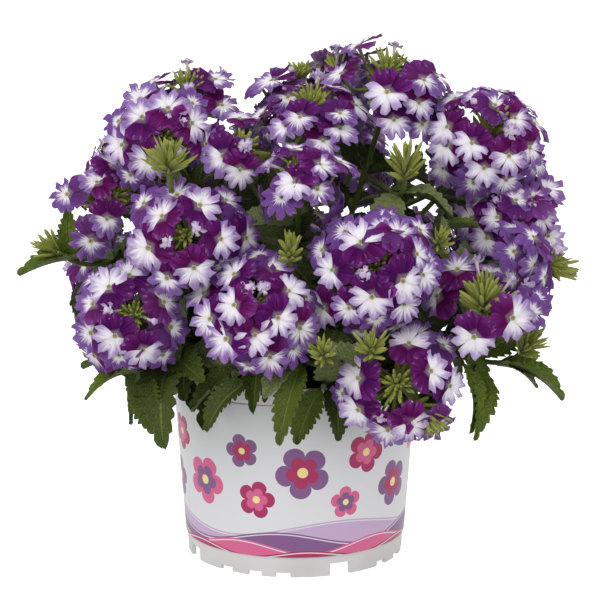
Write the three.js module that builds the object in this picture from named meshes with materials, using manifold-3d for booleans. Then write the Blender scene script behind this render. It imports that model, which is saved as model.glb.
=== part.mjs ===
// Potted verbena in flower: a thin-walled nursery pot with a printed sleeve, its compost,
// eighteen leafy shoots, twenty-seven flower heads and nine clusters of unopened buds.
// Millimetres, +Z up; the origin is on the ground under the middle of the pot, and the
// front of the plant faces -Y. Azimuths turn from the front (-Y) towards +X.
import * as THREE from "three";
import { mergeVertices } from "three/addons/utils/BufferGeometryUtils.js";
import Module from "manifold-3d";

const wasm = await Module();
wasm.setup();

// ---- driving dimensions ----
const GAP = 0.3; // running clearance between neighbouring pieces
const WELD = 0.05;
const POT_HEIGHT = 100;
const RIM_RADIUS = 65;
const RIM_DEPTH = 8.5;
const RIM_STEP = 1.2; // how far the rim band stands out from the wall
const FOOT_RADIUS = 56.7;
const FOOT_HEIGHT = 10.5;
const FOOT_STEP = 1.3; // how far the sleeve stands out from the foot
const WALL = 1.6;
const FLOOR_HEIGHT = 7.6;
const POT_SIDES = 40;
const SLEEVE_BOTTOM = 10.8;
const SLEEVE_TOP = 90.6;
const SLEEVE_THICKNESS = 0.4;
const LARGE_NOTCHES = { count: 4, first: 24, width: 11, height: 6.5 };
const SMALL_NOTCHES = [-6, -21, -38, 51]; // azimuths in one quarter, repeated round
const SMALL_NOTCH = { width: 7.5, height: 2.4 };
const DRAIN = { count: 6, ring: 36, radius: 3.6, middle: 4.5 };
const SOIL_TOP = 88;

const MAIN_STEM = 1.7; // radius of a main stem
const SIDE_STEM = 1.25;
const STEM_SIDES = 4; // verbena stems are square
const LEAF = { length: 38, width: 21, thickness: 1.1, lift: 24, droop: 9, sag: 4.5, fold: 0.16 };
const PAIRS = [0.42, 0.72]; // where a main stem carries its leaf pairs, as shares of its length
const SIDE_PAIR = 0.6;
const TURNS = [0, 30, -30, 60, -60, 90]; // a leaf pair turns to the first free place
const SIZES = [1, 0.82, 0.66, 0.5];
const HEAD_LOBES = 7;

// Flower heads: top of the stalk x, y, z, then azimuth and elevation of the way the head
// faces, and its reach, the radius of its dome.
const HEADS = [
  [-18, -90, 141, -5, 33, 29],
  [37, -84, 162, 6, 20, 33],
  [-50, -78, 177, -8, 14, 28],
  [-80, -70, 137, -14, 18, 29],
  [-65, -48, 221, -12, 28, 28],
  [-54, 14, 228, -10, 72, 27],
  [-94, -38, 186, -34, 12, 27],
  [3, 14, 234, 0, 66, 28],
  [8, -34, 224, 4, 50, 26],
  [46, -12, 239, 8, 46, 30],
  [97, -24, 218, 18, 33, 29],
  [112, -24, 177, 32, 22, 26],
  [114, -50, 160, 80, 4, 22],
  [93, -74, 139, 12, 32, 26],
  [50, -84, 107, 8, 4, 30],
  [2, -78, 199, 0, 42, 25],
  [-28, -46, 210, -12, 36, 22],
  [0, 91, 140, 180, 18, 29],
  [64, 70, 142, 138, 16, 29],
  [-64, 70, 142, -138, 16, 29],
  [100, 18, 138, 100, 14, 27],
  [-98, 14, 142, -98, 14, 28],
  [32, 68, 196, 162, 34, 28],
  [-32, 68, 194, -160, 34, 28],
  [86, 34, 192, 112, 30, 27],
  [-84, 36, 196, -112, 30, 27],
  [22, 50, 238, 175, 62, 24],
];

// Bud clusters: top of the stalk, azimuth, elevation, height, radius.
const BUDS = [
  [-57, -90, 208, 0, 66, 21, 13],
  [54, -52, 202, 5, 78, 20, 11],
  [-2, -92, 168, 2, 68, 17, 7],
  [68, -78, 173, 10, 34, 15, 8],
  [-114, -42, 162, -70, 36, 19, 10],
  [36, -104, 125, 0, 48, 16, 9],
  [14, -106, 124, -6, 44, 15, 8],
  [111, -62, 117, 62, 46, 18, 9],
  [-20, 100, 172, 178, 50, 17, 9],
];

// Leafy tips that carry no flowers yet: x, y, z, azimuth, elevation.
const TIPS = [
  [-77, -69, 108, -40, 4],
  [-22, -84, 109, -14, 6],
  [14, -86, 106, 6, 4],
  [86, -66, 116, 48, 6],
  [4, 84, 107, 180, 4],
  [58, 60, 107, 138, 4],
  [-58, 60, 107, -140, 4],
  [84, 14, 112, 96, 4],
  [-84, 6, 112, -92, 4],
];

// Shoots: ring radius and azimuth of the foot on the compost, the main end, and the side
// ends with the share of the main stem where each forks off. H, B and T name the lists above.
const SHOOTS = [
  [21, -10, "H1", [["B7", 0.62], ["T2", 0.4]]],
  [10, 24, "H2", [["B3", 0.62]]],
  [21, -36, "H3", [["B1", 0.66]]],
  [21, -62, "H4", [["T1", 0.42]]],
  [10, -62, "H5", [["H6", 0.56]]],
  [21, -88, "H7", [["B5", 0.6]]],
  [10, -18, "H16", [["H17", 0.62]]],
  [0, 0, "H8", [["H9", 0.6], ["H27", 0.5]]],
  [10, 62, "H10", [["B2", 0.66]]],
  [10, 102, "H11", [["B4", 0.5]]],
  [21, 84, "H12", [["H13", 0.6], ["T8", 0.36]]],
  [21, 58, "H14", [["B8", 0.54], ["T4", 0.42]]],
  [21, 26, "H15", [["B6", 0.52], ["T3", 0.44]]],
  [21, 178, "H18", [["B9", 0.6], ["T5", 0.42]]],
  [21, 134, "H19", [["H21", 0.46], ["T6", 0.42]]],
  [21, -136, "H20", [["H22", 0.46], ["T7", 0.42]]],
  [10, 150, "H23", [["H25", 0.5]]],
  [10, -142, "H24", [["H26", 0.5], ["T9", 0.3]]],
];

// Leaves that show outside the mound: shoot, branch (0 is the main stem), share along it,
// tip x, y, z and width.
const PLACED_LEAVES = [
  [6, 1, 0.8, -137, -52, 158, 15],
  [6, 1, 0.7, -112, -52, 187, 12],
  [4, 1, 0.92, -70, -86, 77, 22],
  [4, 1, 0.97, -56, -90, 74, 24],
  [4, 1, 0.8, -101, -74, 98, 13],
  [1, 2, 0.9, -44, -84, 84, 17],
  [1, 2, 0.97, -9, -92, 78, 16],
  [13, 2, 0.92, 1, -90, 78, 22],
  [12, 2, 0.92, 88, -76, 80, 15],
  [12, 1, 0.74, 134, -64, 96, 14],
  [12, 1, 0.8, 121, -58, 99, 12],
];

const POT_WHITE = { color: 0xe9e9e9, roughness: 0.45, metalness: 0 };
const SLEEVE_WHITE = { color: 0xf2f1f2, roughness: 0.35, metalness: 0 };
const COMPOST = { color: 0x2b211a, roughness: 1, metalness: 0 };
const GREEN = { color: 0x41481d, roughness: 0.6, metalness: 0 };
const PURPLE = { color: 0x6c3f8f, roughness: 0.6, metalness: 0 };
const BUD_GREEN = { color: 0x6d7a24, roughness: 0.6, metalness: 0 };

// ---- helpers ----
const radians = THREE.MathUtils.degToRad;
const UP = new THREE.Vector3(0, 0, 1);

function facing(azimuth, elevation) {
  const level = Math.cos(radians(elevation));
  const turn = radians(azimuth);
  return new THREE.Vector3(
    Math.sin(turn) * level,
    -Math.cos(turn) * level,
    Math.sin(radians(elevation)),
  );
}

function solidOf(geometry) {
  const loose = geometry.index ? geometry.toNonIndexed() : geometry;
  const bare = new THREE.BufferGeometry();
  bare.setAttribute("position", loose.getAttribute("position"));
  const merged = mergeVertices(bare, 1e-3);
  return new wasm.Manifold(
    new wasm.Mesh({
      numProp: 3,
      vertProperties: merged.attributes.position.array,
      triVerts: new Uint32Array(merged.index.array),
    }),
  );
}

// Cuts leave slivers, so vertices within WELD of each other become one and the triangles
// that collapse are dropped.
function geometryOf(solid) {
  const { vertProperties, triVerts } = solid.getMesh();
  const cut = new THREE.BufferGeometry()
    .setAttribute("position", new THREE.BufferAttribute(vertProperties, 3))
    .setIndex(new THREE.BufferAttribute(triVerts, 1));
  const welded = mergeVertices(cut, WELD);
  const corners = Array.from(welded.index.array);
  const kept = [];
  for (let i = 0; i < corners.length; i += 3) {
    const [a, b, c] = corners.slice(i, i + 3);
    if (a !== b && b !== c && c !== a) kept.push(a, b, c);
  }
  return welded.setIndex(kept);
}

function lathe(points, sides) {
  const profile = points.map(([radius, height]) => new THREE.Vector2(radius, height));
  return new THREE.LatheGeometry(profile, sides).rotateX(Math.PI / 2);
}

// Turns a geometry's +Z to a direction and moves its origin to a place.
function placed(geometry, place, direction) {
  const turn = new THREE.Quaternion().setFromUnitVectors(UP, direction);
  return geometry.applyQuaternion(turn).translate(place.x, place.y, place.z);
}

// ---- pot, sleeve and compost ----
const SLEEVE_FOOT = FOOT_RADIUS + FOOT_STEP;
const sleeveLean = (RIM_RADIUS - RIM_STEP - SLEEVE_FOOT) / (SLEEVE_TOP - SLEEVE_BOTTOM);
const sleeveOuter = (z) => SLEEVE_FOOT + sleeveLean * (z - SLEEVE_BOTTOM);
const wallOuter = (z) => sleeveOuter(z) - SLEEVE_THICKNESS - GAP;
const wallInner = (z) => wallOuter(z) - WALL;

function notch({ width, height }, azimuth) {
  const shape = new THREE.Shape([
    new THREE.Vector2(-width / 2 - 1, -1),
    new THREE.Vector2(width / 2 + 1, -1),
    new THREE.Vector2(width / 2 - 1, height),
    new THREE.Vector2(-width / 2 + 1, height),
  ]);
  const depth = 8 * WALL;
  const block = new THREE.ExtrudeGeometry(shape, { depth, bevelEnabled: false });
  block.rotateX(Math.PI / 2).translate(0, depth / 2 - FOOT_RADIUS + WALL, 0);
  return solidOf(block.rotateZ(radians(azimuth)));
}

function drain(radius, ring, azimuth) {
  const bore = new THREE.CylinderGeometry(radius, radius, 3 * WALL, 10).rotateX(Math.PI / 2);
  bore.translate(0, -ring, FLOOR_HEIGHT + WALL / 2);
  return solidOf(bore.rotateZ(radians(azimuth)));
}

function potSolid() {
  const bandBottom = POT_HEIGHT - RIM_DEPTH;
  const footInner = FOOT_RADIUS - WALL - 0.4;
  let pot = solidOf(
    lathe(
      [
        [0, FLOOR_HEIGHT],
        [footInner, FLOOR_HEIGHT],
        [footInner, 0],
        [FOOT_RADIUS, 0],
        [FOOT_RADIUS + 0.4, FOOT_HEIGHT],
        [wallOuter(FOOT_HEIGHT), FOOT_HEIGHT],
        [wallOuter(bandBottom), bandBottom],
        [RIM_RADIUS - 0.5, bandBottom + 0.6],
        [RIM_RADIUS, POT_HEIGHT - 0.6],
        [RIM_RADIUS - 0.6, POT_HEIGHT],
        [RIM_RADIUS - WALL, POT_HEIGHT - 0.4],
        [wallInner(bandBottom), bandBottom - 1],
        [wallInner(FLOOR_HEIGHT), FLOOR_HEIGHT + WALL],
        [0, FLOOR_HEIGHT + WALL],
      ],
      POT_SIDES,
    ),
  );
  const { count, first } = LARGE_NOTCHES;
  for (let i = 0; i < count; i++) {
    const quarter = (i * 360) / count;
    pot = pot.subtract(notch(LARGE_NOTCHES, first + quarter));
    for (const azimuth of SMALL_NOTCHES)
      pot = pot.subtract(notch(SMALL_NOTCH, azimuth + quarter));
  }
  for (let i = 0; i < DRAIN.count; i++)
    pot = pot.subtract(drain(DRAIN.radius, DRAIN.ring, (i * 360) / DRAIN.count));
  return pot.subtract(drain(DRAIN.middle, 0, 0));
}

function sleeveSolid() {
  const profile = [
    [wallOuter(SLEEVE_BOTTOM) + GAP, SLEEVE_BOTTOM],
    [sleeveOuter(SLEEVE_BOTTOM), SLEEVE_BOTTOM],
    [sleeveOuter(SLEEVE_TOP), SLEEVE_TOP],
    [wallOuter(SLEEVE_TOP) + GAP, SLEEVE_TOP],
  ];
  return solidOf(lathe([...profile, profile[0]], POT_SIDES));
}

function soilSolid() {
  const bottom = FLOOR_HEIGHT + WALL + GAP;
  return solidOf(
    lathe(
      [
        [0, bottom],
        [wallInner(bottom) - GAP, bottom],
        [wallInner(SOIL_TOP - 1) - GAP, SOIL_TOP - 1],
        [wallInner(SOIL_TOP) - 2, SOIL_TOP],
        [0, SOIL_TOP],
      ],
      POT_SIDES,
    ),
  );
}

// ---- flower heads and bud clusters ----
// A head is a low dome whose florets make a lobed rim; grow widens it for a clearance cut.
function headSolid([x, y, z, azimuth, elevation, reach], grow = 0) {
  const outline = [
    [0, 0],
    [0.12, 0],
    [0.96, -0.14],
    [1, 0.06],
    [0.86, 0.5],
    [0.5, 0.84],
    [0, 0.93],
  ];
  const scale = reach + grow;
  const dome = lathe(outline.map(([r, h]) => [r * scale, h * scale - grow / 2]), HEAD_LOBES * 2);
  const position = dome.getAttribute("position");
  for (let i = 0; i < position.count; i++) {
    const lobe = Math.cos(Math.atan2(position.getY(i), position.getX(i)) * HEAD_LOBES);
    const share = 0.965 + 0.035 * lobe;
    position.setXY(i, position.getX(i) * share, position.getY(i) * share);
  }
  return solidOf(placed(dome, new THREE.Vector3(x, y, z), facing(azimuth, elevation)));
}

function budSolid([x, y, z, azimuth, elevation, height, radius], grow = 0) {
  const tuft = lathe(
    [
      [0, -grow],
      [0.18 * radius + grow, -grow],
      [0.8 * radius + grow, 0.6 * height],
      [radius + grow, 0.92 * height + grow],
      [0, height + grow],
    ],
    9,
  );
  return solidOf(placed(tuft, new THREE.Vector3(x, y, z), facing(azimuth, elevation)));
}

// ---- shoots ----
const ENDS = { H: HEADS, B: BUDS, T: TIPS };

function endOf(name) {
  const [x, y, z, azimuth, elevation] = ENDS[name[0]][Number(name.slice(1)) - 1];
  const direction = facing(azimuth, elevation);
  return { point: new THREE.Vector3(x, y, z).addScaledVector(direction, -GAP), direction };
}

// A stem leaves its foot along one direction and reaches its end along another.
function stemCurve(foot, away, end, leave, arrive) {
  const span = foot.distanceTo(end.point);
  return new THREE.CubicBezierCurve3(
    foot,
    foot.clone().addScaledVector(away, span * leave),
    end.point.clone().addScaledVector(end.direction, -span * arrive),
    end.point,
  );
}

function branchesOf([ring, azimuth, main, sides]) {
  const outward = facing(azimuth, 0).multiplyScalar(ring);
  const foot = new THREE.Vector3(outward.x, outward.y, SOIL_TOP + GAP);
  const trunk = stemCurve(foot, UP, endOf(main), 0.26, 0.36);
  const branches = sides.map(([name, share]) => {
    const fork = trunk.getPoint(share);
    return stemCurve(fork, trunk.getTangent(share), endOf(name), 0.3, 0.34);
  });
  return [trunk, ...branches];
}

function stemSolid(curve, radius, steps, grow = 0) {
  const section = new THREE.Shape();
  for (let i = 0; i < STEM_SIDES; i++) {
    const turn = (i * 2 * Math.PI) / STEM_SIDES;
    const x = Math.cos(turn) * (radius + grow);
    const y = Math.sin(turn) * (radius + grow);
    if (i) section.lineTo(x, y);
    else section.moveTo(x, y);
  }
  return solidOf(new THREE.ExtrudeGeometry(section, { steps, extrudePath: curve, bevelEnabled: false }));
}

// The first branch of a shoot is its main stem.
function branchSolid(curve, index, grow = 0) {
  return index ? stemSolid(curve, SIDE_STEM, 4, grow) : stemSolid(curve, MAIN_STEM, 6, grow);
}

// A leaf is a thin folded spindle from its base on a stem to its tip, sagging on the way.
function leafSolid(base, tip, width, sag, grow = 0) {
  const middle = tip.clone().sub(base);
  const length = middle.length();
  const along = middle.clone().normalize();
  const lateral = new THREE.Vector3().crossVectors(along, UP);
  if (lateral.length() < 0.2) lateral.crossVectors(along, new THREE.Vector3(base.x, base.y, 0));
  lateral.normalize();
  const normal = new THREE.Vector3().crossVectors(lateral, along);
  const leaf = new THREE.SphereGeometry(1, 4, 4);
  const position = leaf.getAttribute("position");
  for (let i = 0; i < position.count; i++) {
    const share = (1 - position.getY(i)) / 2;
    const half = position.getX(i) * (1.2 - 0.5 * share) * (width / 2);
    const across = -half - position.getX(i) * grow;
    const rise = position.getZ(i) * (LEAF.thickness / 2 + grow) + Math.abs(half) * LEAF.fold;
    const point = base
      .clone()
      .addScaledVector(along, share * (length + grow))
      .addScaledVector(lateral, across)
      .addScaledVector(normal, rise)
      .addScaledVector(UP, sag * Math.sin(Math.PI * share));
    position.setXYZ(i, point.x, point.y, point.z);
  }
  return solidOf(leaf);
}

// The two tips of an opposite pair on a stem, for one turn about the stem and one size.
function pairTips(curve, share, turn, size) {
  const base = curve.getPoint(share);
  const tangent = curve.getTangent(share);
  const flat = new THREE.Vector3().crossVectors(tangent, UP);
  if (flat.length() < 0.2) flat.set(1, 0, 0);
  flat.normalize().applyAxisAngle(tangent, radians(turn));
  return [1, -1].map((side) => {
    const away = flat.clone().multiplyScalar(side * Math.cos(radians(LEAF.lift)));
    away.addScaledVector(tangent, Math.sin(radians(LEAF.lift)));
    const tip = base.clone().addScaledVector(away, LEAF.length * size);
    return tip.addScaledVector(UP, -LEAF.droop * size);
  });
}

const overlaps = (a, b) => a.intersect(b).volume() > 1e-6;

function blocked(solid, name, solids) {
  return [...solids].some(([other, there]) => other !== name && overlaps(solid, there));
}

// Each leaf of a pair takes the first turn and size at which it touches nothing.
function addPair(name, curve, share, quarter, solids) {
  const base = curve.getPoint(share);
  for (const side of [0, 1])
    search: for (const size of SIZES)
      for (const turn of TURNS) {
        const tip = pairTips(curve, share, quarter + turn, size)[side];
        const width = LEAF.width * size;
        if (blocked(leafSolid(base, tip, width, LEAF.sag, GAP), name, solids)) continue;
        solids.set(name, solids.get(name).add(leafSolid(base, tip, width, LEAF.sag)));
        break search;
      }
}

// The space a thin solid needs round it: the solid itself moved by the gap each way.
function wrapped(solid, gap) {
  const moves = [0, 1, 2].flatMap((axis) => [gap, -gap].map((step) => [axis, step]));
  return moves.reduce((joined, [axis, step]) => {
    const move = [0, 0, 0];
    move[axis] = step;
    return joined.add(solid.translate(move));
  }, solid);
}

// ---- assembly ----
const number = (index) => String(index + 1).padStart(2, "0");
const trees = SHOOTS.map(branchesOf);
const solids = new Map([
  ["pot", potSolid()],
  ["label_wrap", sleeveSolid()],
  ["soil", soilSolid()],
]);


// What a flower head or a bud cluster keeps clear of: every stem but the one that bears it,
// and the leaves that were given a place.
const obstacles = [];
trees.forEach((branches, index) => {
  const [, , main, sides] = SHOOTS[index];
  const ends = [main, ...sides.map(([end]) => end)];
  branches.forEach((curve, branch) =>
    obstacles.push({ end: ends[branch], solid: branchSolid(curve, branch, GAP) }),
  );
  let shoot = branches.map((curve, branch) => branchSolid(curve, branch)).reduce((a, b) => a.add(b));
  for (const [owner, branch, share, x, y, z, width] of PLACED_LEAVES) {
    if (owner !== index + 1) continue;
    const base = branches[branch].getPoint(share);
    const tip = new THREE.Vector3(x, y, z);
    const leaf = leafSolid(base, tip, width, LEAF.sag);
    shoot = shoot.add(leaf);
    obstacles.push({ end: "", solid: wrapped(leaf, 2 * GAP) });
  }
  solids.set("shoot_" + number(index), shoot);
});

function cleared(solid, end) {
  return obstacles
    .filter((obstacle) => obstacle.end !== end && overlaps(solid, obstacle.solid))
    .reduce((left, obstacle) => left.subtract(obstacle.solid), solid);
}

// Crumbs that a cut leaves loose are dropped.
function largest(solid) {
  return solid.decompose().reduce((most, body) => (body.volume() > most.volume() ? body : most));
}

BUDS.forEach((bud, index) =>
  solids.set("bud_cluster_" + number(index), largest(cleared(budSolid(bud), "B" + (index + 1)))),
);

// Heads press against each other: a later one makes room for the buds and the heads before it.
HEADS.forEach((head, index) => {
  let dome = cleared(headSolid(head), "H" + (index + 1));
  for (const bud of BUDS) dome = dome.subtract(budSolid(bud, 2 * GAP));
  for (const before of HEADS.slice(0, index)) dome = dome.subtract(headSolid(before, 4 * GAP));
  solids.set("flower_head_" + number(index), largest(dome));
});

trees.forEach((branches, index) => {
  const name = "shoot_" + number(index);
  PAIRS.forEach((share, pair) => addPair(name, branches[0], share, 90 * pair, solids));
  branches.slice(1).forEach((side) => addPair(name, side, SIDE_PAIR, 45, solids));
});

const FINISHES = {
  pot: POT_WHITE,
  label: SLEEVE_WHITE,
  soil: COMPOST,
  shoot: GREEN,
  bud: BUD_GREEN,
  flower: PURPLE,
};
const verbena = new THREE.Group();
for (const [name, solid] of solids) {
  const finish = FINISHES[name.split("_")[0]];
  const mesh = new THREE.Mesh(geometryOf(solid), new THREE.MeshStandardMaterial(finish));
  mesh.name = name;
  verbena.add(mesh);
}

export default verbena;
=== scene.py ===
"""A flowering verbena in its nursery pot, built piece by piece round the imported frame."""

import math
import random

import bmesh
import bpy
from mathutils import Matrix, Vector
from mathutils.kdtree import KDTree


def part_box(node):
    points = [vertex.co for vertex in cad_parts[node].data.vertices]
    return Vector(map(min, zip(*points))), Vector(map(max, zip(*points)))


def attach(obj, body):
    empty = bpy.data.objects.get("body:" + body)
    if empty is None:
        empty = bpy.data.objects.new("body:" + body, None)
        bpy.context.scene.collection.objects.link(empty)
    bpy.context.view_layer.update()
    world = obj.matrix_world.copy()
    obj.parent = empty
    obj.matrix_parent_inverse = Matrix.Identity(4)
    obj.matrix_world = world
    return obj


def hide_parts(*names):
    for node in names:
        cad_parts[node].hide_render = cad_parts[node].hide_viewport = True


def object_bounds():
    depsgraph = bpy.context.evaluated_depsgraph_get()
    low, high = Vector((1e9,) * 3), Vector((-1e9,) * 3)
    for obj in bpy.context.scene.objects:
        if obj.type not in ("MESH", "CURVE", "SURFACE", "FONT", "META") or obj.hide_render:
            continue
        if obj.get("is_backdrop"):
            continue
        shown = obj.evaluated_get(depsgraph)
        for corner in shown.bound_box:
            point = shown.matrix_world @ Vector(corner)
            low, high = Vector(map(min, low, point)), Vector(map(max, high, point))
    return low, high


bl_info = {
    "name": "Potted Verbena",
    "version": (1, 0, 0),
    "blender": (4, 5, 0),
    "location": "View3D > Sidebar > Verbena",
    "description": "Builds a flowering verbena in a printed nursery pot",
    "category": "Object",
}

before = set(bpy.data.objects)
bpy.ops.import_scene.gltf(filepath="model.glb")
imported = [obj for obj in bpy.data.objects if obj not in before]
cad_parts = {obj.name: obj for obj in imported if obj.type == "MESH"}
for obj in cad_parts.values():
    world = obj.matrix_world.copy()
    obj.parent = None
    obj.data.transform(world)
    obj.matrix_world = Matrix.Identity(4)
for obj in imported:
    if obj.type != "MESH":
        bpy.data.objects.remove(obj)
CAD_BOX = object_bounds()

MM = 0.001
UP = Vector((0, 0, 1))

# ---- the plant's layout, in millimetres and degrees; azimuth 0 is the front ----

# Top of the stalk x, y, z, azimuth and elevation the head faces, reach of its dome, lean of
# its innermost ring of flowers, and age from 0 (just open) to 1 (fading to violet).
HEADS = [
    (-18, -90, 141, -5, 33, 29, 35, 0.2),
    (37, -84, 162, 6, 20, 33, 36, 0.15),
    (-50, -78, 177, -8, 14, 28, 36, 0.3),
    (-80, -70, 137, -14, 18, 29, 38, 0.15),
    (-65, -48, 221, -12, 28, 28, 36, 0.25),
    (-54, 14, 228, -10, 72, 27, 36, 0.3),
    (-94, -38, 186, -34, 12, 27, 36, 0.7),
    (3, 14, 234, 0, 66, 28, 36, 0.25),
    (8, -34, 224, 4, 50, 26, 36, 0.4),
    (46, -12, 239, 8, 46, 30, 36, 0.3),
    (97, -24, 218, 18, 33, 29, 36, 0.2),
    (112, -24, 177, 32, 22, 26, 36, 0.4),
    (114, -50, 160, 80, 4, 22, 44, 0.3),
    (93, -74, 139, 12, 32, 26, 52, 0.1),
    (50, -84, 107, 8, 4, 30, 44, 0.3),
    (2, -78, 199, 0, 42, 25, 36, 0.75),
    (-28, -46, 210, -12, 36, 22, 36, 0.5),
    (0, 91, 140, 180, 18, 29, 33, 0.3),
    (64, 70, 142, 138, 16, 29, 45, 0.2),
    (-64, 70, 142, -138, 16, 29, 28, 0.5),
    (100, 18, 138, 100, 14, 27, 42, 0.35),
    (-98, 14, 142, -98, 14, 28, 35, 0.5),
    (32, 68, 196, 162, 34, 28, 30, 0.2),
    (-32, 68, 194, -160, 34, 28, 44, 0.1),
    (86, 34, 192, 112, 30, 27, 38, 0.55),
    (-84, 36, 196, -112, 30, 27, 42, 0.3),
    (22, 50, 238, 175, 62, 24, 32, 0.35),
]

# Heads whose flowers turn another way than their stalk: azimuth, elevation, and flatness, which
# is 0 where each flower faces straight out of a ball and large where all of them face one way.
TURNED = {
    4: (12, 14, 0.9), 5: (6, 14, 0.9), 6: (-10, 62, 1.0), 7: (24, 38, 0.9), 8: (0, 74, 1.1),
    9: (4, 70, 1.2), 10: (6, 62, 1.0), 11: (14, 42, 0.9), 12: (-5, 26, 1.3), 14: (-6, 12, 1.8),
    15: (-3, 12, 0.8), 16: (0, 58, 1.0), 17: (18, 46, 1.0),
}
NEAR_FLATNESS, FAR_FLATNESS = 0.9, 0.65  # of the other heads on the near and the far side
# Tall tufts of buds that heads still carry: head, where the tuft starts from the head's foot,
# azimuth, elevation, height and radius.
TUFTS = [
    (13, 3, 0, -1, 84, -4, 25, 9),
    (14, -2, -10, 2, -6, 74, 25, 17),
    (15, 8, -8, -7, 42, -36, 22, 9),
]
LONG_MIDDLED = (6, 9, 10, 11)  # heads whose middle calyces are long
OPEN_MIDDLED = (14,)  # heads whose own middle is such a tuft
LOOSE = (7, 9, 16, 17)  # heads with no more flowers than those placed one by one on their near side

# Open flowers that look at the camera, head by head: where the eye is in the camera's frame, in
# its pixels across and down, and the flower's age.
OPEN_IN_FRAME = {
    1: [
        (234, 274, 0.35), (234, 305, 0.2), (255, 335, 0.05), (278, 318, 0.15), (289, 291, 0.1),
        (274, 268, 0.6), (245, 262, 0.6), (226, 339, 0.4), (210, 319, 0.3), (204, 293, 0.4),
        (300, 328, 0.5), (270, 357, 0.5), (258, 256, 0.8), (293, 348, 0.8), (280, 256, 0.75),
        (222, 262, 0.8),
    ],
    2: [
        (361, 242, 0.05), (398, 234, 0.5), (417, 254, 0.3), (423, 275, 0.35), (403, 281, 0.1),
        (372, 297, 0.15), (404, 304, 0.3), (349, 308, 0.4), (332, 270, 0.15), (383, 228, 0.7),
        (323, 308, 0.25), (322, 250, 0.75), (345, 232, 0.8), (376, 318, 0.8), (428, 262, 0.8),
    ],
    3: [
        (162, 216, 0.35), (200, 205, 0.25), (221, 239, 0.3), (194, 268, 0.2), (148, 248, 0.2),
        (167, 278, 0.5), (226, 200, 0.6), (177, 195, 0.6), (142, 202, 0.8), (137, 254, 0.5),
        (246, 238, 0.5), (240, 218, 0.8),
    ],
    4: [
        (109, 287, 0.1), (115, 336, 0.1), (143, 350, 0.2), (93, 304, 0.6), (91, 333, 0.6),
        (119, 355, 0.8), (165, 278, 0.5), (171, 327, 0.7), (164, 302, 0.6), (163, 355, 0.8),
        (129, 275, 0.4),
    ],
    5: [
        (168, 108, 0.3), (142, 117, 0.35), (192, 123, 0.3), (122, 145, 0.15), (148, 160, 0.35),
        (206, 144, 0.5), (140, 99, 0.5),
    ],
    6: [(215, 79, 0.5), (154, 82, 0.5), (222, 105, 0.5)],
    7: [(97, 182, 0.45), (115, 166, 0.4), (67, 194, 0.75), (107, 219, 0.5), (91, 241, 0.7)],
    8: [(288, 97, 0.7), (331, 99, 0.8), (272, 80, 0.5)],
    9: [
        (286, 126, 0.35), (262, 125, 0.6), (258, 112, 0.5), (340, 128, 0.4), (340, 113, 0.6),
        (363, 101, 0.15), (323, 141, 0.45), (300, 117, 0.5),
    ],
    10: [
        (341, 73, 0.35), (387, 92, 0.1), (419, 103, 0.3), (394, 120, 0.3), (357, 43, 0.6),
        (424, 80, 0.6), (440, 100, 0.8), (441, 117, 0.4), (422, 124, 0.6),
    ],
    11: [
        (447, 127, 0.2), (447, 145, 0.15), (472, 143, 0.1), (443, 168, 0.5), (484, 168, 0.05),
        (509, 156, 0.25), (506, 180, 0.45), (477, 97, 0.5), (495, 105, 0.6), (515, 118, 0.4),
        (530, 148, 0.5), (536, 163, 0.7), (455, 98, 0.4),
    ],
    12: [
        (484, 197, 0.45), (497, 217, 0.35), (471, 218, 0.3), (487, 238, 0.35), (518, 245, 0.15),
        (542, 217, 0.35), (548, 236, 0.3), (532, 198, 0.7), (516, 200, 0.6), (460, 240, 0.8),
        (500, 269, 0.5), (474, 256, 0.7),
    ],
    13: [(535, 265, 0.6), (545, 277, 0.7)],
    14: [
        (474, 337, 0.05), (513, 318, 0.25), (437, 296, 0.4), (456, 267, 0.5), (548, 295, 0.9),
        (532, 312, 0.8),
    ],
    15: [
        (409, 343, 0.05), (431, 371, 0.15), (450, 386, 0.1), (409, 423, 0.1), (358, 378, 0.15),
        (358, 410, 0.15), (443, 345, 0.7), (388, 430, 0.4),
    ],
    16: [
        (294, 149, 0.6), (294, 182, 0.1), (317, 189, 0.6), (282, 197, 0.9), (320, 164, 0.4),
        (344, 159, 0.7),
    ],
    17: [(240, 170, 0.15), (223, 156, 0.35), (206, 143, 0.5), (240, 112, 0.4)],
}
# Folded flowers in the same frame.
FOLDED_IN_FRAME = {
    1: [(263, 288), (249, 289)], 2: [(364, 274)], 3: [(167, 240), (197, 229)],
    4: [(109, 311), (153, 321)], 6: [(187, 62), (188, 88), (229, 65)], 8: [(292, 70)],
    10: [(395, 46)], 14: [(511, 280), (526, 286), (475, 254)], 15: [(381, 418)],
    16: [(270, 165), (278, 154)], 17: [(245, 146)],
}

# Parts of the same frame that flowers and leaves of the far side stay out of: left, top, right
# and bottom.
CLEAR_IN_FRAME = [
    (0, 200, 76, 310), (224, 84, 256, 106), (212, 112, 238, 134), (249, 194, 261, 206),
    (329, 164, 342, 178), (560, 150, 600, 300), (530, 322, 600, 400), (500, 346, 560, 400),
    (385, 125, 435, 190), (350, 128, 372, 200), (208, 400, 262, 440), (288, 404, 312, 440),
    (235, 30, 312, 68), (312, 30, 345, 54), (455, 344, 505, 400), (536, 308, 600, 345),
]

# Bud clusters: top of the stalk x, y, z, azimuth and elevation, height and radius of the tuft.
BUDS = [
    (-59, -90, 210, -4, 70, 18, 15),
    (54, -52, 202, 5, 78, 20, 11),
    (-2, -92, 168, 2, 68, 17, 7),
    (68, -78, 173, 10, 34, 15, 8),
    (-114, -42, 162, -70, 36, 19, 10),
    (36, -104, 125, 0, 48, 16, 9),
    (14, -106, 124, -6, 44, 15, 8),
    (111, -62, 117, 62, 46, 18, 9),
    (-20, 100, 172, 178, 50, 17, 9),
]

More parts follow.
